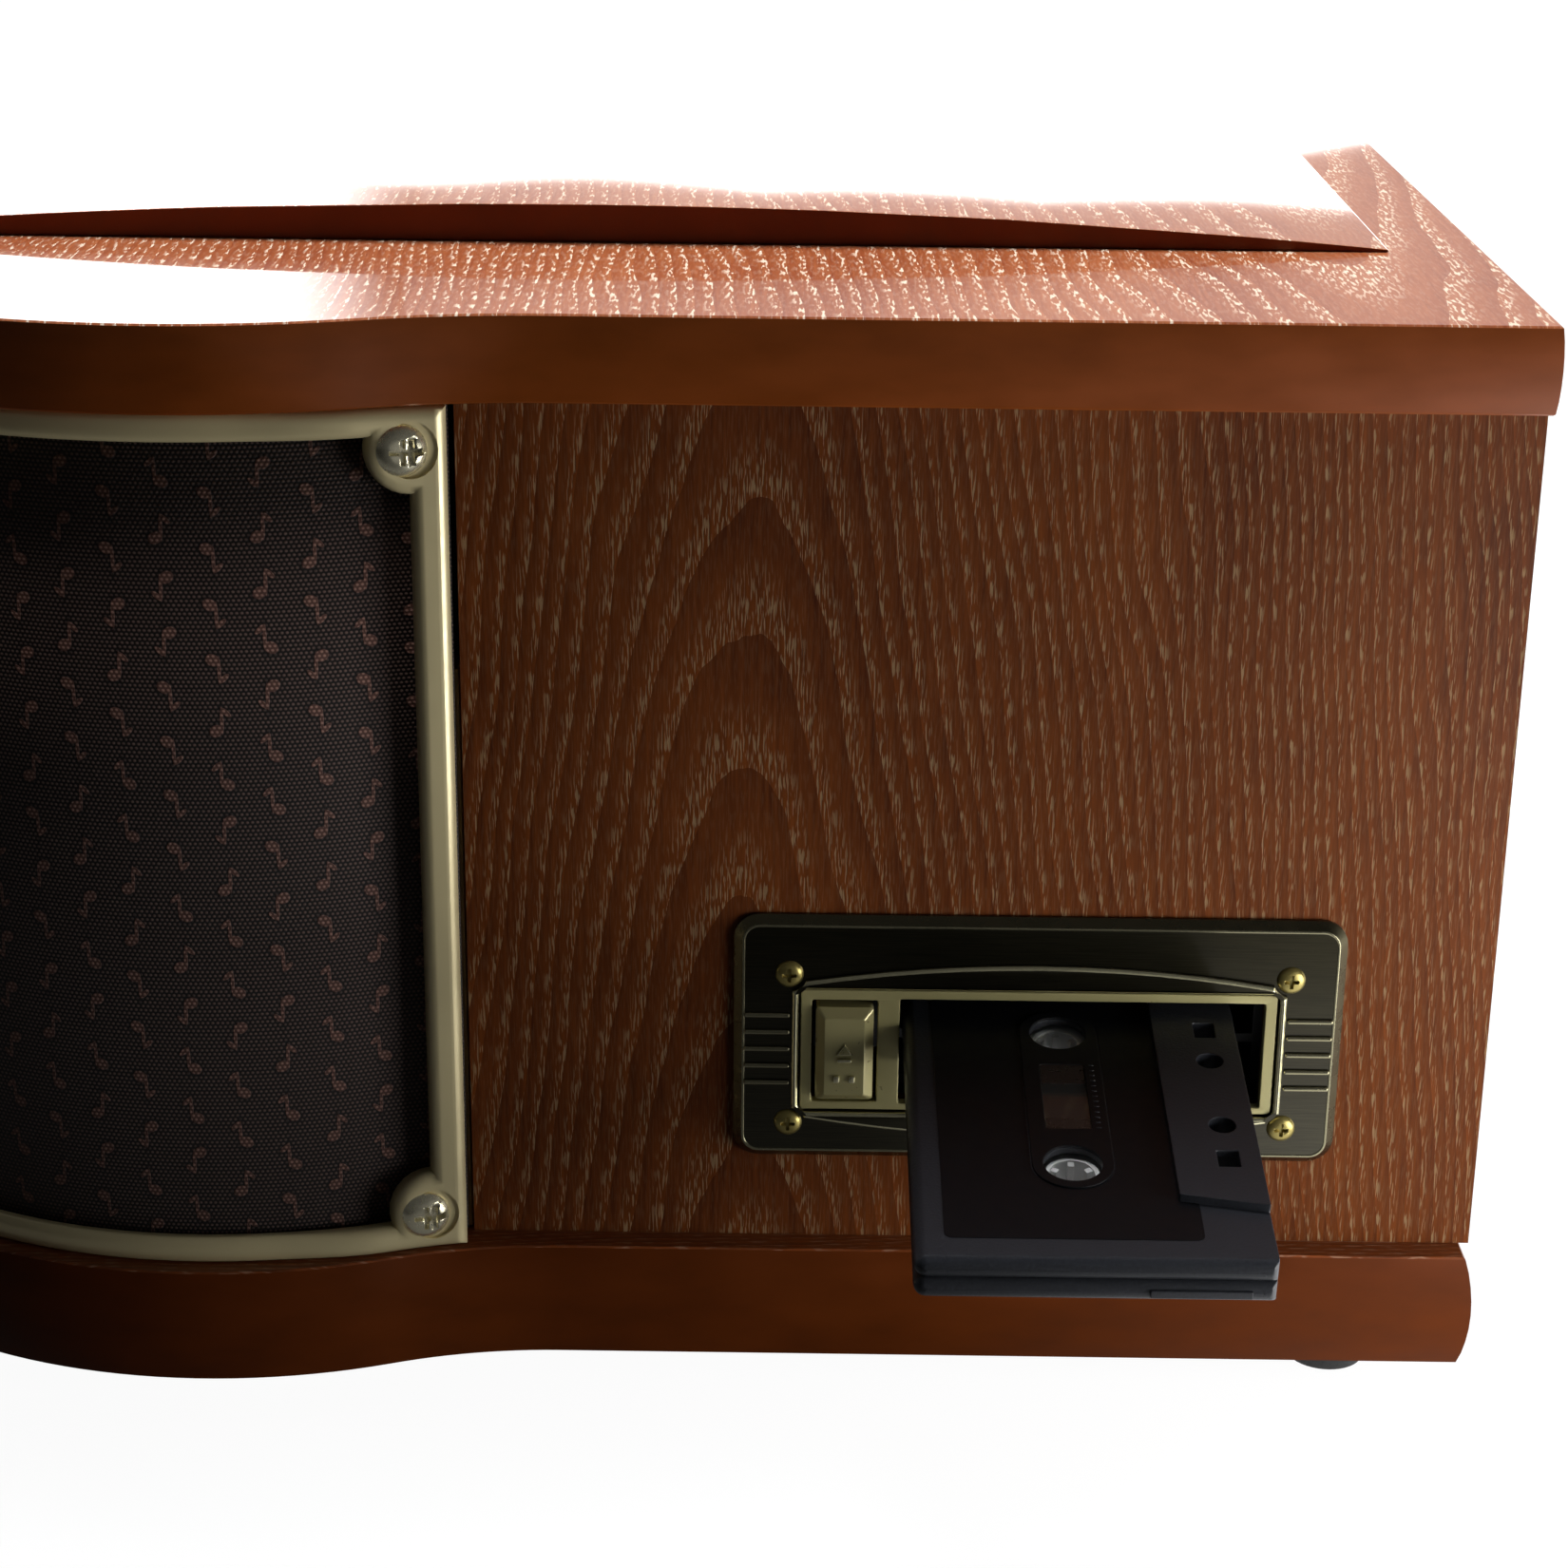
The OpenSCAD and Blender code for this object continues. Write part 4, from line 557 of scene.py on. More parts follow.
gold_satin = material("satin_champagne_gold_lacquer", "#dccd9e", 0.36, metal=0.3, coat=0.2, coat_rough=0.3,
                      speck=4)
frame_from, frame_to = 201 * MM, 125 * MM
grille_s = flare_y + flare_r * math.asin((frame_from - flare_y) / flare_r)
grille_end = corner_end + bow_r * (bow_turn + math.acos(frame_to / bow_r))
grille_out, grille_bar, grille_rail, seam = 6 * MM, 7.1 * MM, 5.8 * MM, 0.3 * MM
grille_round, grille_back = 2.4 * MM, 0.2 * MM
grille_thinned, thin_from, thin_over, bend_step = 2.6 * MM, 16 * MM, 24 * MM, 2.5 * MM
ear_r, ear_z, ear_side, ear_front = 8.6 * MM, 8.2 * MM, 7.1 * MM, 8 * MM
head_r, head_sink, hole_play, seat_play = 4.8 * MM, 0.8 * MM, 0.5 * MM, 0.9 * MM
ears = [(s, z) for s in (grille_s + ear_side, grille_end - ear_front) for z in (ear_z, side_h - ear_z)]
grille_outer = [(grille_s, seam), (grille_end, seam), (grille_end, side_h - seam), (grille_s, side_h - seam)]
bar_near, bar_far = grille_s + grille_bar, grille_end - grille_bar
rail_low, rail_high = grille_rail, side_h - grille_rail
grille_window = []
for index, edge, su, sv in ((0, (bar_near, rail_low), 1, 1), (2, (bar_far, rail_low), -1, 1),
                            (3, (bar_far, rail_high), -1, -1), (1, (bar_near, rail_high), 1, -1)):
    corner = window_corner(ears[index], edge, su, sv, ear_r)
    grille_window += corner[::-1] if su == sv else corner
for side, word in ((1, "right"), (-1, "left")):
    flat = cut_plate(word + "_frame", grille_outer, [grille_window], grille_back, grille_out, grille_round, 6)
    for u, v in ears:
        flat = cut_away(flat, loft("hole", [[(*point, z) for point in ring(u, v, head_r + hole_play)]
                                            for z in (-1 * MM, 9 * MM)], [0]))
    piece(word + "_grille_bars", along_outline(flat, side), (gold_satin,), "cabinet",
          (word + "_grille_frame",), 50)
    seats = [cut_plate(word + "_seat", ring(u, v, head_r + seat_play), [], 0.3 * MM, grille_out - head_sink,
                       0.1 * MM, 1) for u, v in ears]
    for index, seat in enumerate(seats):
        piece(f"{word}_screw_seat_{index}", along_outline(seat, side), (gold_satin,), "cabinet")

# Speaker cloth: a jacquard of dark brown yarn with pale pin dots and small notes, glued to a stiff backing
# and held behind the grille frame. The dots are drawn 0.95 mm apart, a little coarser than the yarn, to
# show.
cloth, weave = finish_tree("brown_jacquard_speaker_cloth")
yarn = add(weave, "ShaderNodeVectorMath", {"operation": "SCALE"},
           i0=add(weave, "ShaderNodeUVMap", {"uv_map": "cloth"}), Scale=1 / MM)
yarn_axes = add(weave, "ShaderNodeSeparateXYZ", i0=yarn)
dot_pitch, dot_row = 0.95, 0.82
row = add(weave, "ShaderNodeMath", {"operation": "DIVIDE"}, i0=yarn_axes.outputs["Y"], i1=dot_row)
odd = add(weave, "ShaderNodeMath", {"operation": "MODULO"}, i0=add(
    weave, "ShaderNodeMath", {"operation": "FLOOR"}, i0=row), i1=2.0)
column = add(weave, "ShaderNodeMath", {"operation": "MULTIPLY_ADD"}, i0=odd, i1=0.5, i2=add(
    weave, "ShaderNodeMath", {"operation": "DIVIDE"}, i0=yarn_axes.outputs["X"], i1=dot_pitch))
dot_cell = add(weave, "ShaderNodeVectorMath", {"operation": "FRACTION"}, i0=add(
    weave, "ShaderNodeCombineXYZ", i0=column, i1=row))
dot_far = add(weave, "ShaderNodeVectorMath", {"operation": "DISTANCE"}, i0=dot_cell, i1=(0.5, 0.5, 0))
dot = add(weave, "ShaderNodeMapRange", {"interpolation_type": "SMOOTHSTEP"}, Value=dot_far.outputs["Value"],
          From_Min=0.46, From_Max=0.12)
note_pitch = 10.6
note_row = add(weave, "ShaderNodeMath", {"operation": "DIVIDE"}, i0=yarn_axes.outputs["X"],
               i1=note_pitch * 0.87)
note_shift = add(weave, "ShaderNodeMath", {"operation": "MULTIPLY_ADD"}, i0=add(
    weave, "ShaderNodeMath", {"operation": "MODULO"}, i0=add(
        weave, "ShaderNodeMath", {"operation": "FLOOR"}, i0=note_row), i1=2.0),
    i1=0.5, i2=add(weave, "ShaderNodeMath", {"operation": "DIVIDE"}, i0=yarn_axes.outputs["Y"],
                   i1=note_pitch))
note_place = add(weave, "ShaderNodeCombineXYZ", i0=note_row, i1=note_shift)
note_id = add(weave, "ShaderNodeVectorMath", {"operation": "FLOOR"}, i0=note_place)
chance = add(weave, "ShaderNodeTexWhiteNoise", {"noise_dimensions": "2D"}, Vector=note_id)
flip = add(weave, "ShaderNodeVectorMath", {"operation": "SIGN"}, i0=add(
    weave, "ShaderNodeVectorMath", {"operation": "SUBTRACT"}, i0=chance.outputs["Color"],
    i1=(0.5, 0.5, 0.5)))
note_local = add(weave, "ShaderNodeVectorMath", {"operation": "MULTIPLY"}, i0=add(
    weave, "ShaderNodeVectorMath", {"operation": "SUBTRACT"}, i0=add(
        weave, "ShaderNodeVectorMath", {"operation": "FRACTION"}, i0=note_place),
    i1=(0.5, 0.5, 0)), i1=(note_pitch, note_pitch, 0))
note_turned = add(weave, "ShaderNodeVectorMath", {"operation": "MULTIPLY"}, i0=note_local,
                  i1=flip)
strokes = []
for middle, half_size, lean in (((-0.95, -1.6), (1.5, 1.15), 20), ((0.35, 0.4), (0.42, 2.6), 0),
                                ((1.25, 2.0), (1.35, 0.55), -38)):
    stroke = add(weave, "ShaderNodeVectorMath", {"operation": "LENGTH"}, i0=add(
        weave, "ShaderNodeMapping", {"vector_type": "TEXTURE"}, Vector=note_turned,
        Location=(*middle, 0), Rotation=(0, 0, math.radians(lean)), Scale=(*half_size, 1)))
    strokes.append(stroke.outputs["Value"])
note_far = strokes[0]
for stroke in strokes[1:]:
    note_far = add(weave, "ShaderNodeMath", {"operation": "MINIMUM"}, i0=note_far, i1=stroke)
note = add(weave, "ShaderNodeMapRange", {"interpolation_type": "SMOOTHSTEP"}, Value=note_far,
           From_Min=1.15, From_Max=0.85)
# Painted shadow: a dark ring round each note stands in for the shade beside the raised figure.
note_painted_shadow = add(weave, "ShaderNodeMapRange", {"interpolation_type": "SMOOTHSTEP"}, Value=note_far,
           From_Min=1.9, From_Max=1.0)
ground = add(weave, "ShaderNodeMix", {"data_type": "RGBA"}, i0=dot, i6=srgb("#0d0807"),
             i7=srgb("#6c574f"))
ground_with_painted_shadow = add(weave, "ShaderNodeMix", {"data_type": "RGBA"}, i0=add(
    weave, "ShaderNodeMath", {"operation": "MULTIPLY"}, i0=note_painted_shadow, i1=0.8),
    i6=ground.outputs[2], i7=srgb("#0b0808"))
note_yarn = add(weave, "ShaderNodeMix", {"data_type": "RGBA"}, i0=dot, i6=srgb("#5a3e36"),
                i7=srgb("#a07a6c"))
figured = add(weave, "ShaderNodeMix", {"data_type": "RGBA"}, i0=add(
    weave, "ShaderNodeMath", {"operation": "MULTIPLY"}, i0=note, i1=0.95),
    i6=ground_with_painted_shadow.outputs[2], i7=note_yarn.outputs[2])
cloth_height = add(weave, "ShaderNodeMath", {"operation": "ADD"}, i0=dot, i1=note)
cloth_bump = add(weave, "ShaderNodeBump", Strength=0.8, Distance=0.12 * MM, Height=cloth_height)
cloth_shader = add(weave, "ShaderNodeBsdfPrincipled", Base_Color=figured.outputs[2], Roughness=0.8,
                   Normal=cloth_bump)
add(weave, "ShaderNodeOutputMaterial", Surface=cloth_shader)
cloth_low, cloth_high = 1.2 * MM, side_h - 1.2 * MM
cloth_thick, cloth_behind, cloth_steps = 0.8 * MM, 0.4 * MM, 90
cloth_long = grille_end - grille_s + 0.4 * MM
cloth_s = [grille_s - 0.6 * MM + cloth_long * i / cloth_steps for i in range(cloth_steps + 1)]
for side, word in ((1, "right"), (-1, "left")):
    mesh = bpy.data.meshes.new(word + "_cloth")
    bm = bmesh.new()
    layer = bm.loops.layers.uv.new("cloth")
    rows_made = []
    for s in cloth_s:
        x, y = outline(s, -cloth_behind)
        rows_made.append([bm.verts.new((mid_x + side * x, rear_y + y, panel_z + z))
                          for z in (cloth_low, cloth_high)])
    for i in range(cloth_steps):
        quad = bm.faces.new((rows_made[i][0], rows_made[i + 1][0], rows_made[i + 1][1], rows_made[i][1]))
        corners = ((cloth_s[i], cloth_low), (cloth_s[i + 1], cloth_low), (cloth_s[i + 1], cloth_high),
                   (cloth_s[i], cloth_high))
        for corner, uv in zip(quad.loops, corners):
            corner[layer].uv = uv
        if side == 1:
            quad.normal_flip()
    bm.to_mesh(mesh)
    bm.free()
    sheet_piece = piece(word + "_speaker_cloth", mesh, (cloth,), "cabinet",
                        (word + "_grille_cloth",))
    solid = sheet_piece.modifiers.new("thickness", "SOLIDIFY")
    solid.thickness = cloth_thick
    solid.offset = -1

# Screws: nickelled cross-slotted heads through the grille frames' ears and the rear panel.


def moved(mesh, matrix):
    """Turns and shifts a mesh, and gives it back."""
    mesh.transform(matrix)
    if matrix.determinant() < 0:
        mesh.flip_normals()
    return mesh


def cross_cut(top, reach, arm, deep):
    """The solid that cuts a cross slot reach wide into a screw head under z = top. It narrows downwards."""
    near, far = arm / 2, reach / 2
    points = [(near, -far), (near, -near), (far, -near), (far, near), (near, near), (near, far),
              (-near, far), (-near, near), (-far, near), (-far, -near), (-near, -near), (-near, -far)]
    levels = ((top - deep, 0.55), (top + MM, 1))
    return loft("cross", [[(x * share, y * share, z) for x, y in points] for z, share in levels], [0])


nickelled = material("bright_nickelled_steel", "#e9e2c4", 0.26, metal=0.8, speck=2)
head_points = [vertex.co for vertex in frame["nodes"]["cabinet_screws"].data.vertices]
frame_cuts = []
for side in (1, -1):
    for u, v in ears:
        foot, far = (Vector((mid_x + side * x, rear_y + y, panel_z + v))
                     for x, y in (outline(u, 0), outline(u, 10 * MM)))
        out = (far - foot).normalized()
        from_foot = [co - foot for co in head_points]
        head_top = max(co.dot(out) for co in from_foot if (co - out * co.dot(out)).length < head_r)
        turn = Matrix((Vector((0, 0, 1)).cross(out), Vector((0, 0, 1)), out)).transposed().to_4x4()
        slot_tool = cross_cut(head_top, 6.2 * MM, 1.5 * MM, 1.7 * MM)
        frame_cuts.append(moved(slot_tool, Matrix.Translation(foot) @ turn))
dressed("frame_screws", "cabinet_screws", (nickelled,), 0.12, tools=frame_cuts)

# Brass plate: pressed sheet, darkened and brushed along its length, its chamfer half dark. Its bead and ribs
# are in a paler brass, a painted highlight. A raised frame with bowed rails surrounds the slot; the rounds of
# its edges are pale brass, a painted highlight line. Four brass screws hold it to the side panel.


def round_rect(cx, cy, w, h, r, steps=6):
    """Corner-rounded rectangle as points, in metres."""
    points = []
    for sx, sy, start in ((1, -1, -90), (1, 1, 0), (-1, 1, 90), (-1, -1, 180)):
        for i in range(steps + 1):
            turn = math.radians(start + 90 * i / steps)
            points.append((cx + sx * (w / 2 - r) + r * math.cos(turn),
                           cy + sy * (h / 2 - r) + r * math.sin(turn)))
    return points


def block(size, edge, segments=2):
    """A box about its middle, its edges eased by edge."""
    mesh = bpy.data.meshes.new("block")
    bm = bmesh.new()
    bmesh.ops.create_cube(bm, size=1, matrix=Matrix.Diagonal((*size, 1)))
    bmesh.ops.bevel(bm, geom=bm.edges[:], offset=edge, segments=segments, profile=0.5, affect="EDGES")
    bm.to_mesh(mesh)
    bm.free()
    return mesh


def repeated(name, item, places, finish, body):
    """Sets one mesh at every place by Geometry Nodes. A place is a position and a turn about X, Y and Z."""
    host_mesh = bpy.data.meshes.new(name)
    host_mesh.from_pydata([place for place, turn in places], [], [])
    turns = host_mesh.attributes.new("turn", "FLOAT_VECTOR", "POINT")
    for index, (place, turn) in enumerate(places):
        turns.data[index].vector = turn
    host, source = in_scene(name + "_places", host_mesh), in_scene(name + "_item", item)
    tree = bpy.data.node_groups.new(name, "GeometryNodeTree")
    tree.interface.new_socket("Geometry", in_out="INPUT", socket_type="NodeSocketGeometry")
    item_input = tree.interface.new_socket("Item", in_out="INPUT", socket_type="NodeSocketObject")
    finish_input = tree.interface.new_socket("Finish", in_out="INPUT", socket_type="NodeSocketMaterial")
    tree.interface.new_socket("Geometry", in_out="OUTPUT", socket_type="NodeSocketGeometry")
    start = add(tree, "NodeGroupInput")
    shape = add(tree, "GeometryNodeObjectInfo", i0=start.outputs["Item"])
    facing = add(tree, "GeometryNodeInputNamedAttribute", {"data_type": "FLOAT_VECTOR"}, Name="turn")
    turned = add(tree, "FunctionNodeEulerToRotation", i0=facing)
    placed = add(tree, "GeometryNodeInstanceOnPoints", Points=start.outputs["Geometry"],
                 Instance=shape.outputs["Geometry"], Rotation=turned)
    real = add(tree, "GeometryNodeRealizeInstances", i0=placed)
    painted = add(tree, "GeometryNodeSetMaterial", i0=real, Material=start.outputs["Finish"])
    add(tree, "NodeGroupOutput", i0=painted)
    nodes = host.modifiers.new(name, "NODES")
    nodes.node_group = tree
    nodes[item_input.identifier] = source
    nodes[finish_input.identifier] = finish
    mesh = plain_mesh(host)
    for helper in (host, source):
        bpy.data.objects.remove(helper)
    mesh.name = name
    return piece(name, mesh, (finish,), body, (), 40)


outwards = Matrix(((0, 0, 1), (1, 0, 0), (0, 1, 0))).to_4x4()
onto_side = Matrix.Translation((right_hi.x, rear_y, panel_z)) @ outwards
plate_y, plate_z, plate_w, plate_h = -88.3 * MM, 44.1 * MM, 118.7 * MM, 51.6 * MM
plate_t, plate_chamfer, plate_under, plate_r = 2.4 * MM, 1.5 * MM, 0.05 * MM, 5 * MM
frame_up, frame_w, frame_h, frame_z = 1.2 * MM, 96 * MM, 29.4 * MM, 42.1 * MM
trim_w, trim_h, trim_z = 92.6 * MM, 25.6 * MM, 42 * MM
slot_w, slot_h, slot_y, slot_z = 71 * MM, 22.3 * MM, -79.8 * MM, 41.8 * MM
key_w, key_y = 14 * MM, -126 * MM
dark_brass, tree = finish_tree("dark_brushed_brass")
brush_place = add(tree, "ShaderNodeMapping", Vector=add(tree, "ShaderNodeTexCoord").outputs["Object"],
                  Scale=(1, 0.02, 1))
brush = add(tree, "ShaderNodeTexNoise", Vector=brush_place, Scale=6000.0, Detail=2.0)
brush_tone = add(tree, "ShaderNodeMix", {"data_type": "RGBA"}, i0=brush.outputs["Fac"], i6=srgb("#26231b"),
                 i7=srgb("#45412f"))
brush_bump = add(tree, "ShaderNodeBump", Strength=0.35, Distance=0.01 * MM, Height=brush.outputs["Fac"])
brushed = add(tree, "ShaderNodeBsdfPrincipled", Base_Color=brush_tone.outputs[2], Metallic=1.0, Roughness=0.3,
              Coat_Weight=0.5, Coat_Roughness=0.08, Normal=brush_bump)
add(tree, "ShaderNodeOutputMaterial", Surface=brushed)
# Pale brass: the key's marks in their own colour, and a painted highlight on the eased edges of the plate's
# raised frame.
pale_brass_marks_and_highlight = material("pale_brass_marks_and_painted_edge_highlight", "#d9d3ae", 0.22, metal=0.9, speck=1.0, vary=0.05)
# Painted highlight: the bead and ribs are in a paler brass than the plate, so that they read as lit lines.
painted_highlight_brass = material("pale_brass_painted_highlight", "#8f8a70", 0.24, metal=0.9, speck=4.0)
half_dark_brass = material("half_darkened_brass_edge", "#6a6550", 0.28, metal=1.0, speck=4.0)
plate_mesh = cut_plate("brass_plate", round_rect(plate_y, plate_z, plate_w, plate_h, plate_r),
                       [round_rect(plate_y, frame_z, frame_w - 5 * MM, frame_h - 4 * MM, 2 * MM)],
                       -1.2 * MM, plate_t, plate_chamfer, 0)
for vertex in plate_mesh.vertices:  # the underside lies flat on the side panel
    vertex.co.z = max(vertex.co.z, plate_under)
piece("brass_plate", moved(plate_mesh, onto_side), (dark_brass, half_dark_brass), "cabinet",
      ("cassette_escutcheon",), 25)
bead = cut_plate("plate_bead", round_rect(plate_y, plate_z, plate_w - 3.1 * MM, plate_h - 3.1 * MM, 3.4 * MM),
                 [round_rect(plate_y, plate_z, plate_w - 4.3 * MM, plate_h - 4.3 * MM, 2.9 * MM)],
                 plate_t - 0.3 * MM, plate_t + 0.15 * MM, 0.2 * MM, 2)
piece("plate_bead", moved(bead, onto_side), (painted_highlight_brass,), "cabinet", (), 25)
frame_corners = ((-1, -1), (1, -1), (1, 1), (-1, 1))
screw_at = [(plate_y + i * 48.6 * MM, frame_z + j * 15.9 * MM) for i, j in frame_corners]
bow_up, notch = 3.8 * MM, 3.4 * MM
frame_path = []
for screw_spot, (i, j) in zip(screw_at, frame_corners):
    corner = window_corner(screw_spot, (plate_y + i * frame_w / 2, frame_z + j * frame_h / 2), -i, -j, notch)
    frame_path += corner[::-1] if i == j else corner
    if i == -j:
        continue
    start, stop = frame_path[-1][0], plate_y - i * (frame_w / 2 - 3 * MM)
    for step in range(1, 12):
        share = step / 12
        frame_path.append((start + (stop - start) * share,
                           frame_z + j * (frame_h / 2 + bow_up * (1 - (2 * share - 1) ** 2))))
# Painted highlight line: the rim's eased edges take the pale brass (material 1).
rim_mesh = cut_plate("brass_rim", frame_path,
                     [round_rect(plate_y, trim_z, trim_w + 0.8 * MM, trim_h + 0.8 * MM, 1.6 * MM)], 0.3 * MM,
                     plate_t + frame_up, 0.75 * MM, 2)
piece("brass_rim", moved(rim_mesh, onto_side), (dark_brass, pale_brass_marks_and_highlight), "cabinet", (), 25)
rib_w, rib_r, rib_step, rib_n = 9 * MM, 1.1 * MM, 3.6 * MM, 5
rib_places = [((right_hi.x + plate_t - 0.2 * MM, rear_y + plate_y + side * (plate_w / 2 - 6.5 * MM),
                panel_z + frame_z + (i - (rib_n - 1) / 2) * rib_step), (0, 0, 0))
              for side in (-1, 1) for i in range(rib_n)]
repeated("plate_ribs", block((1.6 * rib_r, rib_w, 0.9 * rib_r), 0.4 * MM, 3), rib_places, painted_highlight_brass,
         "cabinet")
yellow_brass = material("dull_yellow_brass", "#9a8c52", 0.32, metal=0.8, speck=2)
plate_screw_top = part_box("escutcheon_screws")[1].x - right_hi.x
plate_cuts = [moved(cross_cut(plate_screw_top, 3.7 * MM, 0.95 * MM, 1 * MM),
                    onto_side @ Matrix.Translation((y, z, 0))) for y, z in screw_at]
dressed("plate_screws", "escutcheon_screws", (yellow_brass,), 0.1, tools=plate_cuts)

# Trim and key: moulded plastic, sprayed olive gold with a satin gloss. The trim frames the slot and the
# key; the key has wide bevels and small raised marks, and is pushed in to let the cassette out.
olive = material("satin_olive_gold_lacquer", "#b4ab78", 0.32, metal=0.4, coat=0.3, coat_rough=0.25, speck=3)
trim_mesh = cut_plate("slot_frame", round_rect(plate_y, trim_z, trim_w, trim_h, 0.9 * MM),
                      [round_rect(slot_y, slot_z, slot_w, slot_h, 0.5 * MM),
                       round_rect(key_y, slot_z, key_w - 1.2 * MM, slot_h - 0.6 * MM, 0.5 * MM)],
                      0.3 * MM, plate_t + 0.3 * MM, 0.3 * MM, 2)
piece("slot_frame", moved(trim_mesh, onto_side), (olive,), "cabinet", ("slot_trim",), 25)
key_lo, key_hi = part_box("eject_key")
key_face, key_high, key_slope = key_w - 2.8 * MM, slot_h - 2.6 * MM, 1.6 * MM
key_top = key_hi.x - right_hi.x
key_loops = [[(*point, z) for point in round_rect(key_y, slot_z, key_face - 2 * inset, key_high - 2 * inset,
                                                  max(0.8 * MM - inset * 0.2, 0.3 * MM))]
             for z, inset in ((-2 * MM, 0), (key_top - 1.9 * MM, 0), (key_top - 1.7 * MM, 0.15 * MM),
                              (key_top - 0.15 * MM, key_slope), (key_top, key_slope + 0.25 * MM))]
piece("push_key", moved(loft("push_key", key_loops, [0] * 4), onto_side), (olive,), "eject_key",
      ("eject_key",), 30)
stem_w = 6 * MM
stem = block((key_hi.x - 4 * MM - key_lo.x, stem_w, stem_w), 0.3 * MM, 1)
piece("key_stem", moved(stem, Matrix.Translation(((key_lo.x + key_hi.x) / 2 - 2 * MM, rear_y + key_y,
                                                  panel_z + slot_z))), (olive,), "eject_key")
mark_places = [((key_hi.x, rear_y + key_y + y * MM, panel_z + slot_z - 4.6 * MM), (0, 0, 0))
               for y in (-1.5, 1.5)]
repeated("key_squares", block((1.1 * MM, 1.3 * MM, 1.5 * MM), 0.3 * MM, 2), mark_places, pale_brass_marks_and_highlight,
         "eject_key")
repeated("key_bar", block((1.1 * MM, 2.9 * MM, 0.8 * MM), 0.3 * MM, 2),
         [((key_hi.x, rear_y + key_y, panel_z + slot_z - 0.6 * MM), (0, 0, 0))], pale_brass_marks_and_highlight, "eject_key")
arrow_points = [(key_y + y * MM, slot_z + z * MM) for y, z in ((-1.6, 0.6), (1.6, 0.6), (0, 3))]
arrow = cut_plate("key_arrow", arrow_points, [], key_top - 0.4 * MM, key_top + 0.5 * MM, 0.2 * MM, 1)
piece("key_arrow", moved(arrow, onto_side), (olive, pale_brass_marks_and_highlight), "eject_key")

# Cassette: two half shells of charcoal polystyrene with a fine grain, screwed together, and white hubs. A
# darker smooth label field and a sunk window with the wound tape lie between them. It rests in the slot.
tilt, tape_out, tape_top, tape_y = math.radians(8.8), 78.3 * MM, 48.85 * MM, 82.6 * MM
tape_l, tape_w, tape_t, hub_share = 100.4 * MM, 63.8 * MM, 8.7 * MM, 0.55
in_tape = (Matrix.Translation((right_hi.x, rear_y - tape_y, panel_z + tape_top))
           @ Matrix.Rotation(tilt, 4, "Y") @ Matrix.Translation((tape_out, 0, 0)))
from_tape = in_tape.inverted()
charcoal = material("grained_charcoal_polystyrene", "#222429", 0.44, speck=0.55, depth=0.05, vary=0.25)
smooth_black = material("smooth_black_label", "#0c0d10", 0.42, speck=3, Specular_IOR_Level=0.3)


def tape_corner(co):
    """Whether a point is on one of the cassette's four upright edges."""
    near = from_tape @ co
    return (min(abs(near.x), abs(near.x + tape_l)) < 0.05 * MM
            and abs(abs(near.y) - tape_w / 2) < 0.05 * MM)


for half in ("upper", "lower"):
    dressed(f"{half}_shell", f"cassette_{half}_shell", (charcoal,), 0.3, None, (2.2, 5, tape_corner), 30)
tape_mid, hub_gap, hub_y, hub_hole = -tape_l / 2, 42.5 * MM, -2.3 * MM, 5.4 * MM
hub_spots = [(tape_mid + side * hub_gap / 2, hub_y) for side in (-1, 1)]
label = cut_plate("label", round_rect(tape_mid + 2.5 * MM, -3.5 * MM, 82 * MM, 46 * MM, 1.5 * MM),
                  [round_rect(tape_mid, hub_y, hub_gap + 15.4 * MM, 15.4 * MM, 7.6 * MM, 10)], 0, 0.12 * MM,
                  0.04 * MM, 0)
piece("label", moved(label, in_tape), (smooth_black,), "cassette")
panel = cut_plate("hub_panel", round_rect(tape_mid, hub_y, hub_gap + 15 * MM, 15 * MM, 7.4 * MM, 10),
                  [ring(*spot, hub_hole) for spot in hub_spots]
                  + [round_rect(tape_mid, hub_y, 21 * MM, 8.4 * MM, 0.6 * MM)], 0, 0.45 * MM, 0.2 * MM, 2)
piece("hub_panel", moved(panel, in_tape), (smooth_black,), "cassette", (), 25)
window_glass = material("smoked_polystyrene_window", "#2c2b2a", 0.08, coat=0.5, speck=3)
window = cut_plate("tape_window", round_rect(tape_mid, hub_y, 21.4 * MM, 8.8 * MM, 0.5 * MM), [], -0.3 * MM,
                   0.15 * MM, 0.05 * MM, 1)
piece("tape_window", moved(window, in_tape), (window_glass,), "cassette")
tape_brown = material("wound_brown_tape", "#2c2522", 0.3, speck=2)
for side, reach in ((-1, 6.2 * MM), (1, 3.4 * MM)):
    pack_line = round_rect(tape_mid + side * (10.5 * MM - reach / 2), hub_y, reach, 8.2 * MM, 0.3 * MM)
    pack_mesh = cut_plate("tape_pack", pack_line, [], 0.1 * MM, 0.3 * MM, 0.03 * MM, 0)
    piece("tape_pack_" + ("near" if side > 0 else "far"), moved(pack_mesh, in_tape), (tape_brown,),
          "cassette")
gauge_places = [(in_tape @ Vector((tape_mid + (i - 6) * 1.7 * MM, hub_y + 5.6 * MM, 0.45 * MM)), (0, tilt, 0))
                for i in range(13)]
repeated("tape_gauge", block((0.35 * MM, 0.9 * MM, 0.2 * MM), 0.06 * MM, 1), gauge_places, charcoal,
         "cassette")
end_tab = block((0.7 * MM, 18 * MM, 1.7 * MM), 0.3 * MM, 2)
piece("end_tab", moved(end_tab, in_tape @ Matrix.Translation((0.05 * MM, 18.5 * MM, -6.5 * MM))), (charcoal,),
      "cassette")
acetal = material("white_acetal", "#f2f4f4", 0.35, speck=2)
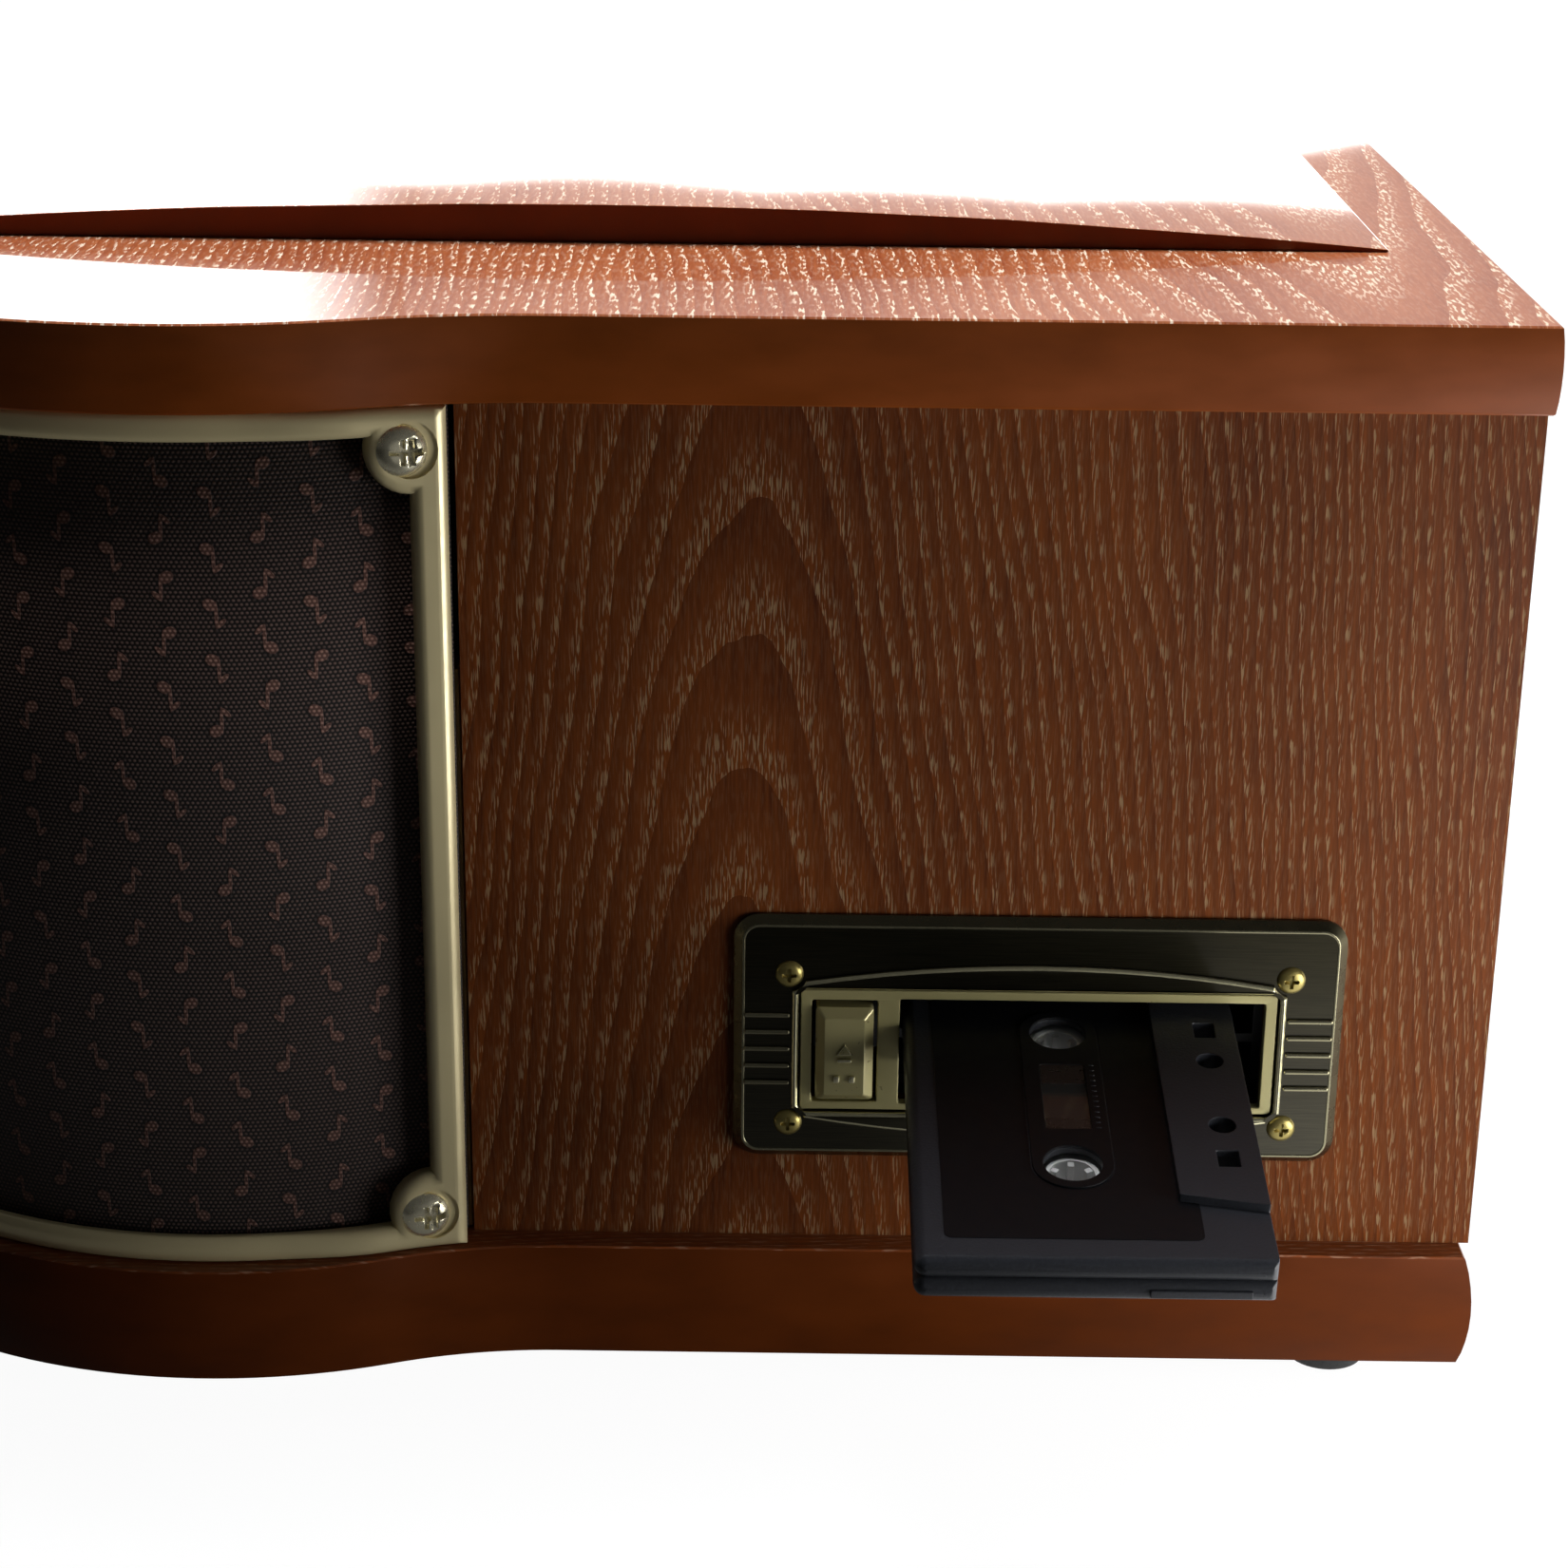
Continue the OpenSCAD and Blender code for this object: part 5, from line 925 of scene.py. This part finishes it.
for side in ("supply", "takeup"):
    hub = dressed(side + "_reel_hub", side + "_hub", (acetal,), 0.12)
    hub.data.transform(in_tape @ Matrix.Translation((0, 0, -tape_t / 2))
                       @ Matrix.Diagonal((1, 1, hub_share, 1))
                       @ Matrix.Translation((0, 0, tape_t / 2)) @ from_tape)

# Cassette bay and drive: the bay is black polystyrene, moulded with the shelf the cassette lies on and the
# key's guide. The drive under it is zinc-plated sheet steel on four posts, with its motor and flywheel.
shell_black = material("satin_black_polystyrene", "#1b1b1d", 0.45, speck=0.6, depth=0.02, vary=0.1)
zinc = material("zinc_plated_steel", "#a9aaa8", 0.32, metal=1.0, speck=4, vary=0.1)
dressed("bay", "cassette_bay", (shell_black,), 0.2)
dressed("tape_drive", "tape_mechanism", (zinc,), 0.2)

# Rubber feet: tapered black rubber with a soft edge, screwed under the base board near its corners.
rubber = material("matt_black_rubber", "#131313", 0.75, speck=0.4, depth=0.02, vary=0.15)
dressed("feet", "rubber_feet", (rubber,), 0.5)

# Rear panel: hardboard painted dark brown, with sawn vents and holes for its sockets. Five screws hold it.
brown_board = material("brown_painted_hardboard", "#38291f", 0.6, speck=0.8, depth=0.03, vary=0.15)
dressed("rear_board", "rear_panel", (brown_board,), 0.3)

# Rear sockets: black plastic block with four plated phono sleeves, in pairs of red and white, and a flat
# inlet. Colours tell the two channels apart. The block is riveted behind the panel.


def here(x, y, z):
    """A point given in millimetres from the cabinet's middle, its rear edge and the floor."""
    return Vector((mid_x + x * MM, rear_y + y * MM, z * MM))


def socket_finish(face):
    """Black inside and at the inlet; the outer sleeves are red on the right and white on the left."""
    spot = face.calc_center_median()
    if spot.y < sleeve_y or spot.z < 60 * MM:
        return 0
    return 1 if spot.x > here(-61, 0, 0).x else 2


red_ring = material("red_polystyrene", "#b3221c", 0.35, speck=0.8, vary=0.05)
white_ring = material("white_polystyrene", "#dcdad2", 0.35, speck=0.8, vary=0.05)
sleeve_y = rear_y + 0.5 * MM
dressed("sockets", "rear_sockets", (shell_black, red_ring, white_ring), 0.25, socket_finish)

# Front panel: 5 mm board bent to the bow, with the sides' veneer, its openings cut clean. It stands between
# the grille frames and carries all the controls.
front_veneer = veneer("front_ash_veneer", "Z", "X", mid_x / MM, "#391507", "#7c4118", "#a38a66", 0.5, 0.0,
                      sheen=0.12)
dressed("front_board", "front_fascia", (front_veneer,), 0.4)

# Dial: a cream printed scale with ticks and plain numbers stands behind a clear acrylic window. The red
# pointer slides along a steel rod below the scale, drawn by the tuning cord.


def numbers(name, words, height, body, finish):
    """Plain numbers, each with its place, as one thin raised mesh facing the front."""
    joined = bmesh.new()
    for word, place in words:
        data = bpy.data.curves.new(name, "FONT")
        data.body, data.size, data.align_x, data.align_y = word, height, "CENTER", "CENTER"
        data.extrude, data.resolution_u = 0.08 * MM, 3
        holder = in_scene(name, data)
        shape = plain_mesh(holder)
        shape.transform(Matrix.Translation(place) @ Matrix.Rotation(math.pi / 2, 4, "X"))
        joined.from_mesh(shape)
        bpy.data.objects.remove(holder)
        bpy.data.curves.remove(data)
    bmesh.ops.remove_doubles(joined, verts=joined.verts, dist=0.002 * MM)
    bmesh.ops.recalc_face_normals(joined, faces=joined.faces)
    mesh = bpy.data.meshes.new(name)
    joined.to_mesh(mesh)
    joined.free()
    mesh.materials.clear()
    return piece(name, mesh, (finish,), body)


dial_z, scale_front = 93.07, -353.49
card = material("cream_printed_board", "#e8dcb2", 0.5, speck=1.2, vary=0.04)
ink = material("brown_printing_ink", "#3a2414", 0.5, speck=0.8)
clear = material("clear_acrylic", "#ffffff", 0.03, speck=3, Transmission_Weight=1.0, IOR=1.49)
signal_red = material("signal_red_acrylic", "#d02818", 0.25, speck=1, coat=0.3)
dressed("scale_board", "dial_scale", (card,), 0.2)
dressed("dial_window", "dial_glass", (clear,), 0.3)
dressed("pointer", "dial_pointer", (signal_red,), 0.15)
tick_places = [(here(x * 2.2, scale_front, dial_z + z), (0, 0, 0))
               for z in (6.5, -6.5) for x in range(-25, 26)]
repeated("dial_ticks", block((0.3 * MM, 0.16 * MM, 3 * MM), 0.03 * MM, 1), tick_places, ink, "cabinet")
long_places = [(here(x * 11, scale_front, dial_z + z), (0, 0, 0)) for z in (7.5, -7.5) for x in range(-5, 6)]
repeated("dial_long_ticks", block((0.5 * MM, 0.18 * MM, 5 * MM), 0.03 * MM, 1), long_places, ink, "cabinet")
line_places = [(here(0, scale_front, dial_z + z), (0, 0, 0)) for z in (5, -5)]
repeated("dial_lines", block((118 * MM, 0.17 * MM, 0.35 * MM), 0.03 * MM, 1), line_places, ink, "cabinet")
number_row = [(str(88 + 4 * i), here(-55 + 22 * i, scale_front, dial_z + 14.5)) for i in range(6)]
number_row += [(str(n), here(-55 + 22 * i, scale_front, dial_z - 14.5))
               for i, n in enumerate((54, 60, 80, 100, 130, 160))]
numbers("dial_numbers", number_row, 6 * MM, "cabinet", ink)

# Knobs and buttons: turned brass, lightly brushed and lacquered, with fine flutes round the rim and a dark
# index line on the face. They are pushed onto their shafts. The buttons are of the same brass.
knob_brass = material("brushed_lacquered_brass", "#c9ae68", 0.25, metal=1.0, coat=0.3, speck=0.5, depth=0.002,
                      vary=0.06)
for word, node, x, z, r, h, count in (("tuning", "tuning_knob", 99, dial_z, 16, 15, 60),
                                      ("volume", "volume_knob", -99, dial_z, 16, 15, 60),
                                      ("function", "function_knob", 0, 51, 10, 13, 40)):
    low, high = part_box(node)
    dressed(word + "_dial_knob", node, (knob_brass,), 0.3)
    flutes = []
    for i in range(count):
        turn = math.tau * i / count
        spot = Vector((mid_x + x * MM + (r - 1.3) * MM * math.cos(turn), low.y + (h / 2 - 0.6) * MM,
                       z * MM + (r - 1.3) * MM * math.sin(turn)))
        flutes.append((spot, (0, -turn, 0)))
    repeated(word + "_flutes", block((0.8 * MM, (h - 6.5) * MM, 0.7 * MM), 0.2 * MM, 1), flutes, knob_brass,
             node)
    mark = here(x, 0, z) + Vector((0, low.y - rear_y, (r - 6.5) * MM))
    repeated(word + "_index", block((0.9 * MM, 0.3 * MM, 5 * MM), 0.1 * MM, 1), [(mark, (0, 0, 0))], ink,
             node)
for word, node in (("power", "power_button"), ("open", "open_button"), ("play", "play_button")):
    dressed(word + "_push", node, (knob_brass,), 0.5)
bright_nickel = material("bright_nickel_plate", "#c8c6c0", 0.15, metal=1.0, speck=2)
dressed("phones_socket", "headphone_jack", (bright_nickel,), 0.25)

# Disc drawer: black moulded tray with a recess for the disc, behind a flush front. It slides in a sheet
# steel housing that hangs from the deck.
dressed("disc_drawer", "cd_drawer", (shell_black,), 0.35)
dressed("disc_housing", "cd_mechanism", (zinc,), 0.2)

# Deck: one moulding of satin black plastic, with the arm's rest and its clip. It lies on the posts.
deck_black = material("fine_grained_black_plastic", "#19191b", 0.38, speck=0.5, depth=0.04, vary=0.12)
dressed("deck", "deck_plate", (deck_black,), 0.3)
dressed("rest_clip", "arm_clip", (deck_black,), 0.4)

# Platter: cast aluminium, turned bright on its rim. It runs on the spindle's bush. The rubber mat on it has
# fine ribs in rings, and a shallow sunk middle for a record's label.


def lathe(profile, steps=96):
    """A closed profile of radius and height, turned about Z."""
    rings_made = [[(*point, z) for point in ring(0, 0, r, steps)] for r, z in profile]
    return loft("lathe", rings_made, [0] * len(profile), closed=True)


turned_alu = material("turned_aluminium", "#b4b5b6", 0.22, metal=1.0, speck=0.8, grain=(1, 1, 0.05),
                      vary=0.06)
dressed("turned_platter", "platter", (turned_alu,), 0.25)
platter_r, platter_h, mat_t, label_r, journal_r = 142, 12, 2.5, 50, 5
deck_top, wide_groove = 153, 98
mat_low, mat_high = deck_top + platter_h, deck_top + platter_h + mat_t
mat_line = [(journal_r + 1, mat_low), (platter_r - 4.5, mat_low), (platter_r - 4.5, mat_high - 0.5),
            (platter_r - 5, mat_high)]
groove = platter_r - 8
while groove > label_r + 6:
    mat_line += [(groove, mat_high), (groove - 0.4, mat_high - 0.7), (groove - 1.1, mat_high - 0.7),
                 (groove - 1.5, mat_high)]
    groove -= 4 if round(groove) != wide_groove else 9
mat_line += [(label_r + 2, mat_high), (label_r, mat_high - 0.6), (journal_r + 1, mat_high - 0.6)]
mat_mesh = lathe([(r * MM, z * MM) for r, z in mat_line], 144)
piece("ribbed_mat", moved(mat_mesh, Matrix.Translation(here(-48, -176, 0))), (rubber,), "platter",
      ("platter_mat",), 30)
polished_steel = material("polished_steel", "#c6c7c8", 0.1, metal=1.0, speck=2)
dressed("record_pin", "platter_spindle", (polished_steel,), 0.2)

# Drive: a can motor under the deck turns a brass pulley; a black ground belt runs from it round the
# platter's inner rim.
dressed("motor_can", "drive_motor", (zinc,), 0.3)
dressed("crowned_pulley", "motor_pulley", (yellow_brass,), 0.1)
dressed("ground_belt", "drive_belt", (rubber,), 0.05)

# Tonearm: polished aluminium tube with a chromed counterweight, in a cast gimbal on a black moulded base.
# The headshell is plugged into its end and carries a cartridge; the lever beside the base lifts it.
arm_alu = material("polished_aluminium_tube", "#c9cacb", 0.16, metal=1.0, speck=1.0, vary=0.03)
cast_grey = material("satin_cast_aluminium", "#a6a7a8", 0.35, metal=1.0, speck=0.6, depth=0.01, vary=0.06)
dressed("arm_base", "tonearm_base", (deck_black,), 0.4)
dressed("arm_gimbal", "tonearm_gimbal", (cast_grey,), 0.3)
dressed("arm_tube", "tonearm", (arm_alu,), 0.25)
stylus_top = (deck_top + 21.3) * MM
dressed("plug_in_headshell", "headshell", (shell_black, bright_nickel), 0.2,
        lambda f: 1 if f.calc_center_median().z < stylus_top and f.calc_area() < 3 * MM * MM else 0)
dressed("arm_lift_lever", "cue_lever", (cast_grey,), 0.35)
dressed("speed_switch", "speed_selector", (cast_grey,), 0.35)

# Hinges: two butt hinges of rolled brass sheet with brass pins, screwed to the rear panel and the lid. Each
# leaf has its countersunk screws.
hinge_brass = material("rolled_yellow_brass", "#c2a452", 0.3, metal=1.0, speck=1.5, vary=0.06)
dressed("lower_leaves", "hinge_cabinet_leaves", (hinge_brass,), 0.12)
dressed("upper_leaves", "hinge_lid_leaves", (hinge_brass,), 0.12)
dressed("pins", "hinge_pins", (hinge_brass,), 0.1)
screw_head = lathe([(0.01 * MM, -0.6 * MM), (2.1 * MM, -0.6 * MM), (2.1 * MM, 0.1 * MM), (1.6 * MM, 0.5 * MM),
                    (0.01 * MM, 0.6 * MM)], 32)
for turn in (0, math.pi / 2):
    slot_tool = block((2.6 * MM, 0.5 * MM, 1 * MM), 0.02 * MM, 1)
    screw_head = cut_away(screw_head, moved(slot_tool, Matrix.Translation((0, 0, 0.7 * MM))
                                            @ Matrix.Rotation(turn, 4, "Z")))
for body, z, out in (("cabinet", 194.5, 0.6), ("lid", 212.5, 1.2)):
    places = [(here(side * 150 + i * 13, out, z), (-math.pi / 2, 0, 0.4 + i))
              for side in (-1, 1) for i in (-1, 1)]
    repeated(body + "_hinge_screws", screw_head.copy(), places, hinge_brass, body)

# Frame inside: softwood posts, painted lining of the well, and the speaker boards with their drivers. A
# driver is a pressed steel basket with a black paper cone.
softwood = material("planed_softwood", "#c39c66", 0.6, speck=2.5, grain=(1, 1, 0.12), vary=0.12)
lining_black = material("dark_brown_lining_paint", "#241a15", 0.5, speck=0.7, vary=0.1)
black_steel = material("black_enamelled_steel", "#222224", 0.3, coat=0.3, speck=1.5)
black_paper = material("black_paper_cone", "#1a1816", 0.8, speck=0.7, depth=0.05, vary=0.25)
for word, node, finish, width in (
        ("posts", "corner_battens", softwood, 0.4), ("lining", "well_liner", lining_black, 0.3),
        ("speaker_boards", "speaker_baffles", softwood, 0.4), ("baskets", "speaker_frames", black_steel, 0.3),
        ("cones", "speaker_cones", black_paper, 0.15)):
    dressed(word, node, (finish,), width)

# Electrics: a green board on four pillars with three capacitors and a finned heat sink, and a transformer
# with a laminated core round its taped coil. Both stand on the base board.


def circuit_finish(face):
    """Green board; what stands on it is the heat sink towards the rear, and the capacitors in front."""
    middle = face.calc_center_median()
    if middle.z < 42 * MM:
        return 0
    return 1 if middle.y > rear_y - 185 * MM else 2


def coil_finish(face):
    """The core's two long faces lie between the ends of the coil."""
    return 0 if rear_y - 110.3 * MM < face.calc_center_median().y < rear_y - 63.7 * MM else 1


green_board = material("green_circuit_board", "#1f5a33", 0.3, coat=0.3, speck=1.5, vary=0.08)
black_sleeve = material("black_capacitor_sleeve", "#15171c", 0.3, speck=1)
sink_alu = material("matt_aluminium", "#9a9b9c", 0.4, metal=1.0, speck=1)
core_iron = material("varnished_core_iron", "#4c4a46", 0.45, metal=0.6, speck=1.2, grain=(1, 1, 8), vary=0.2)
coil_tape = material("yellow_coil_tape", "#b48c34", 0.45, speck=1.2, vary=0.06)
dressed("circuit", "amplifier_board", (green_board, sink_alu, black_sleeve), 0.15, circuit_finish)
dressed("transformer", "power_transformer", (core_iron, coil_tape), 0.3, coil_finish)
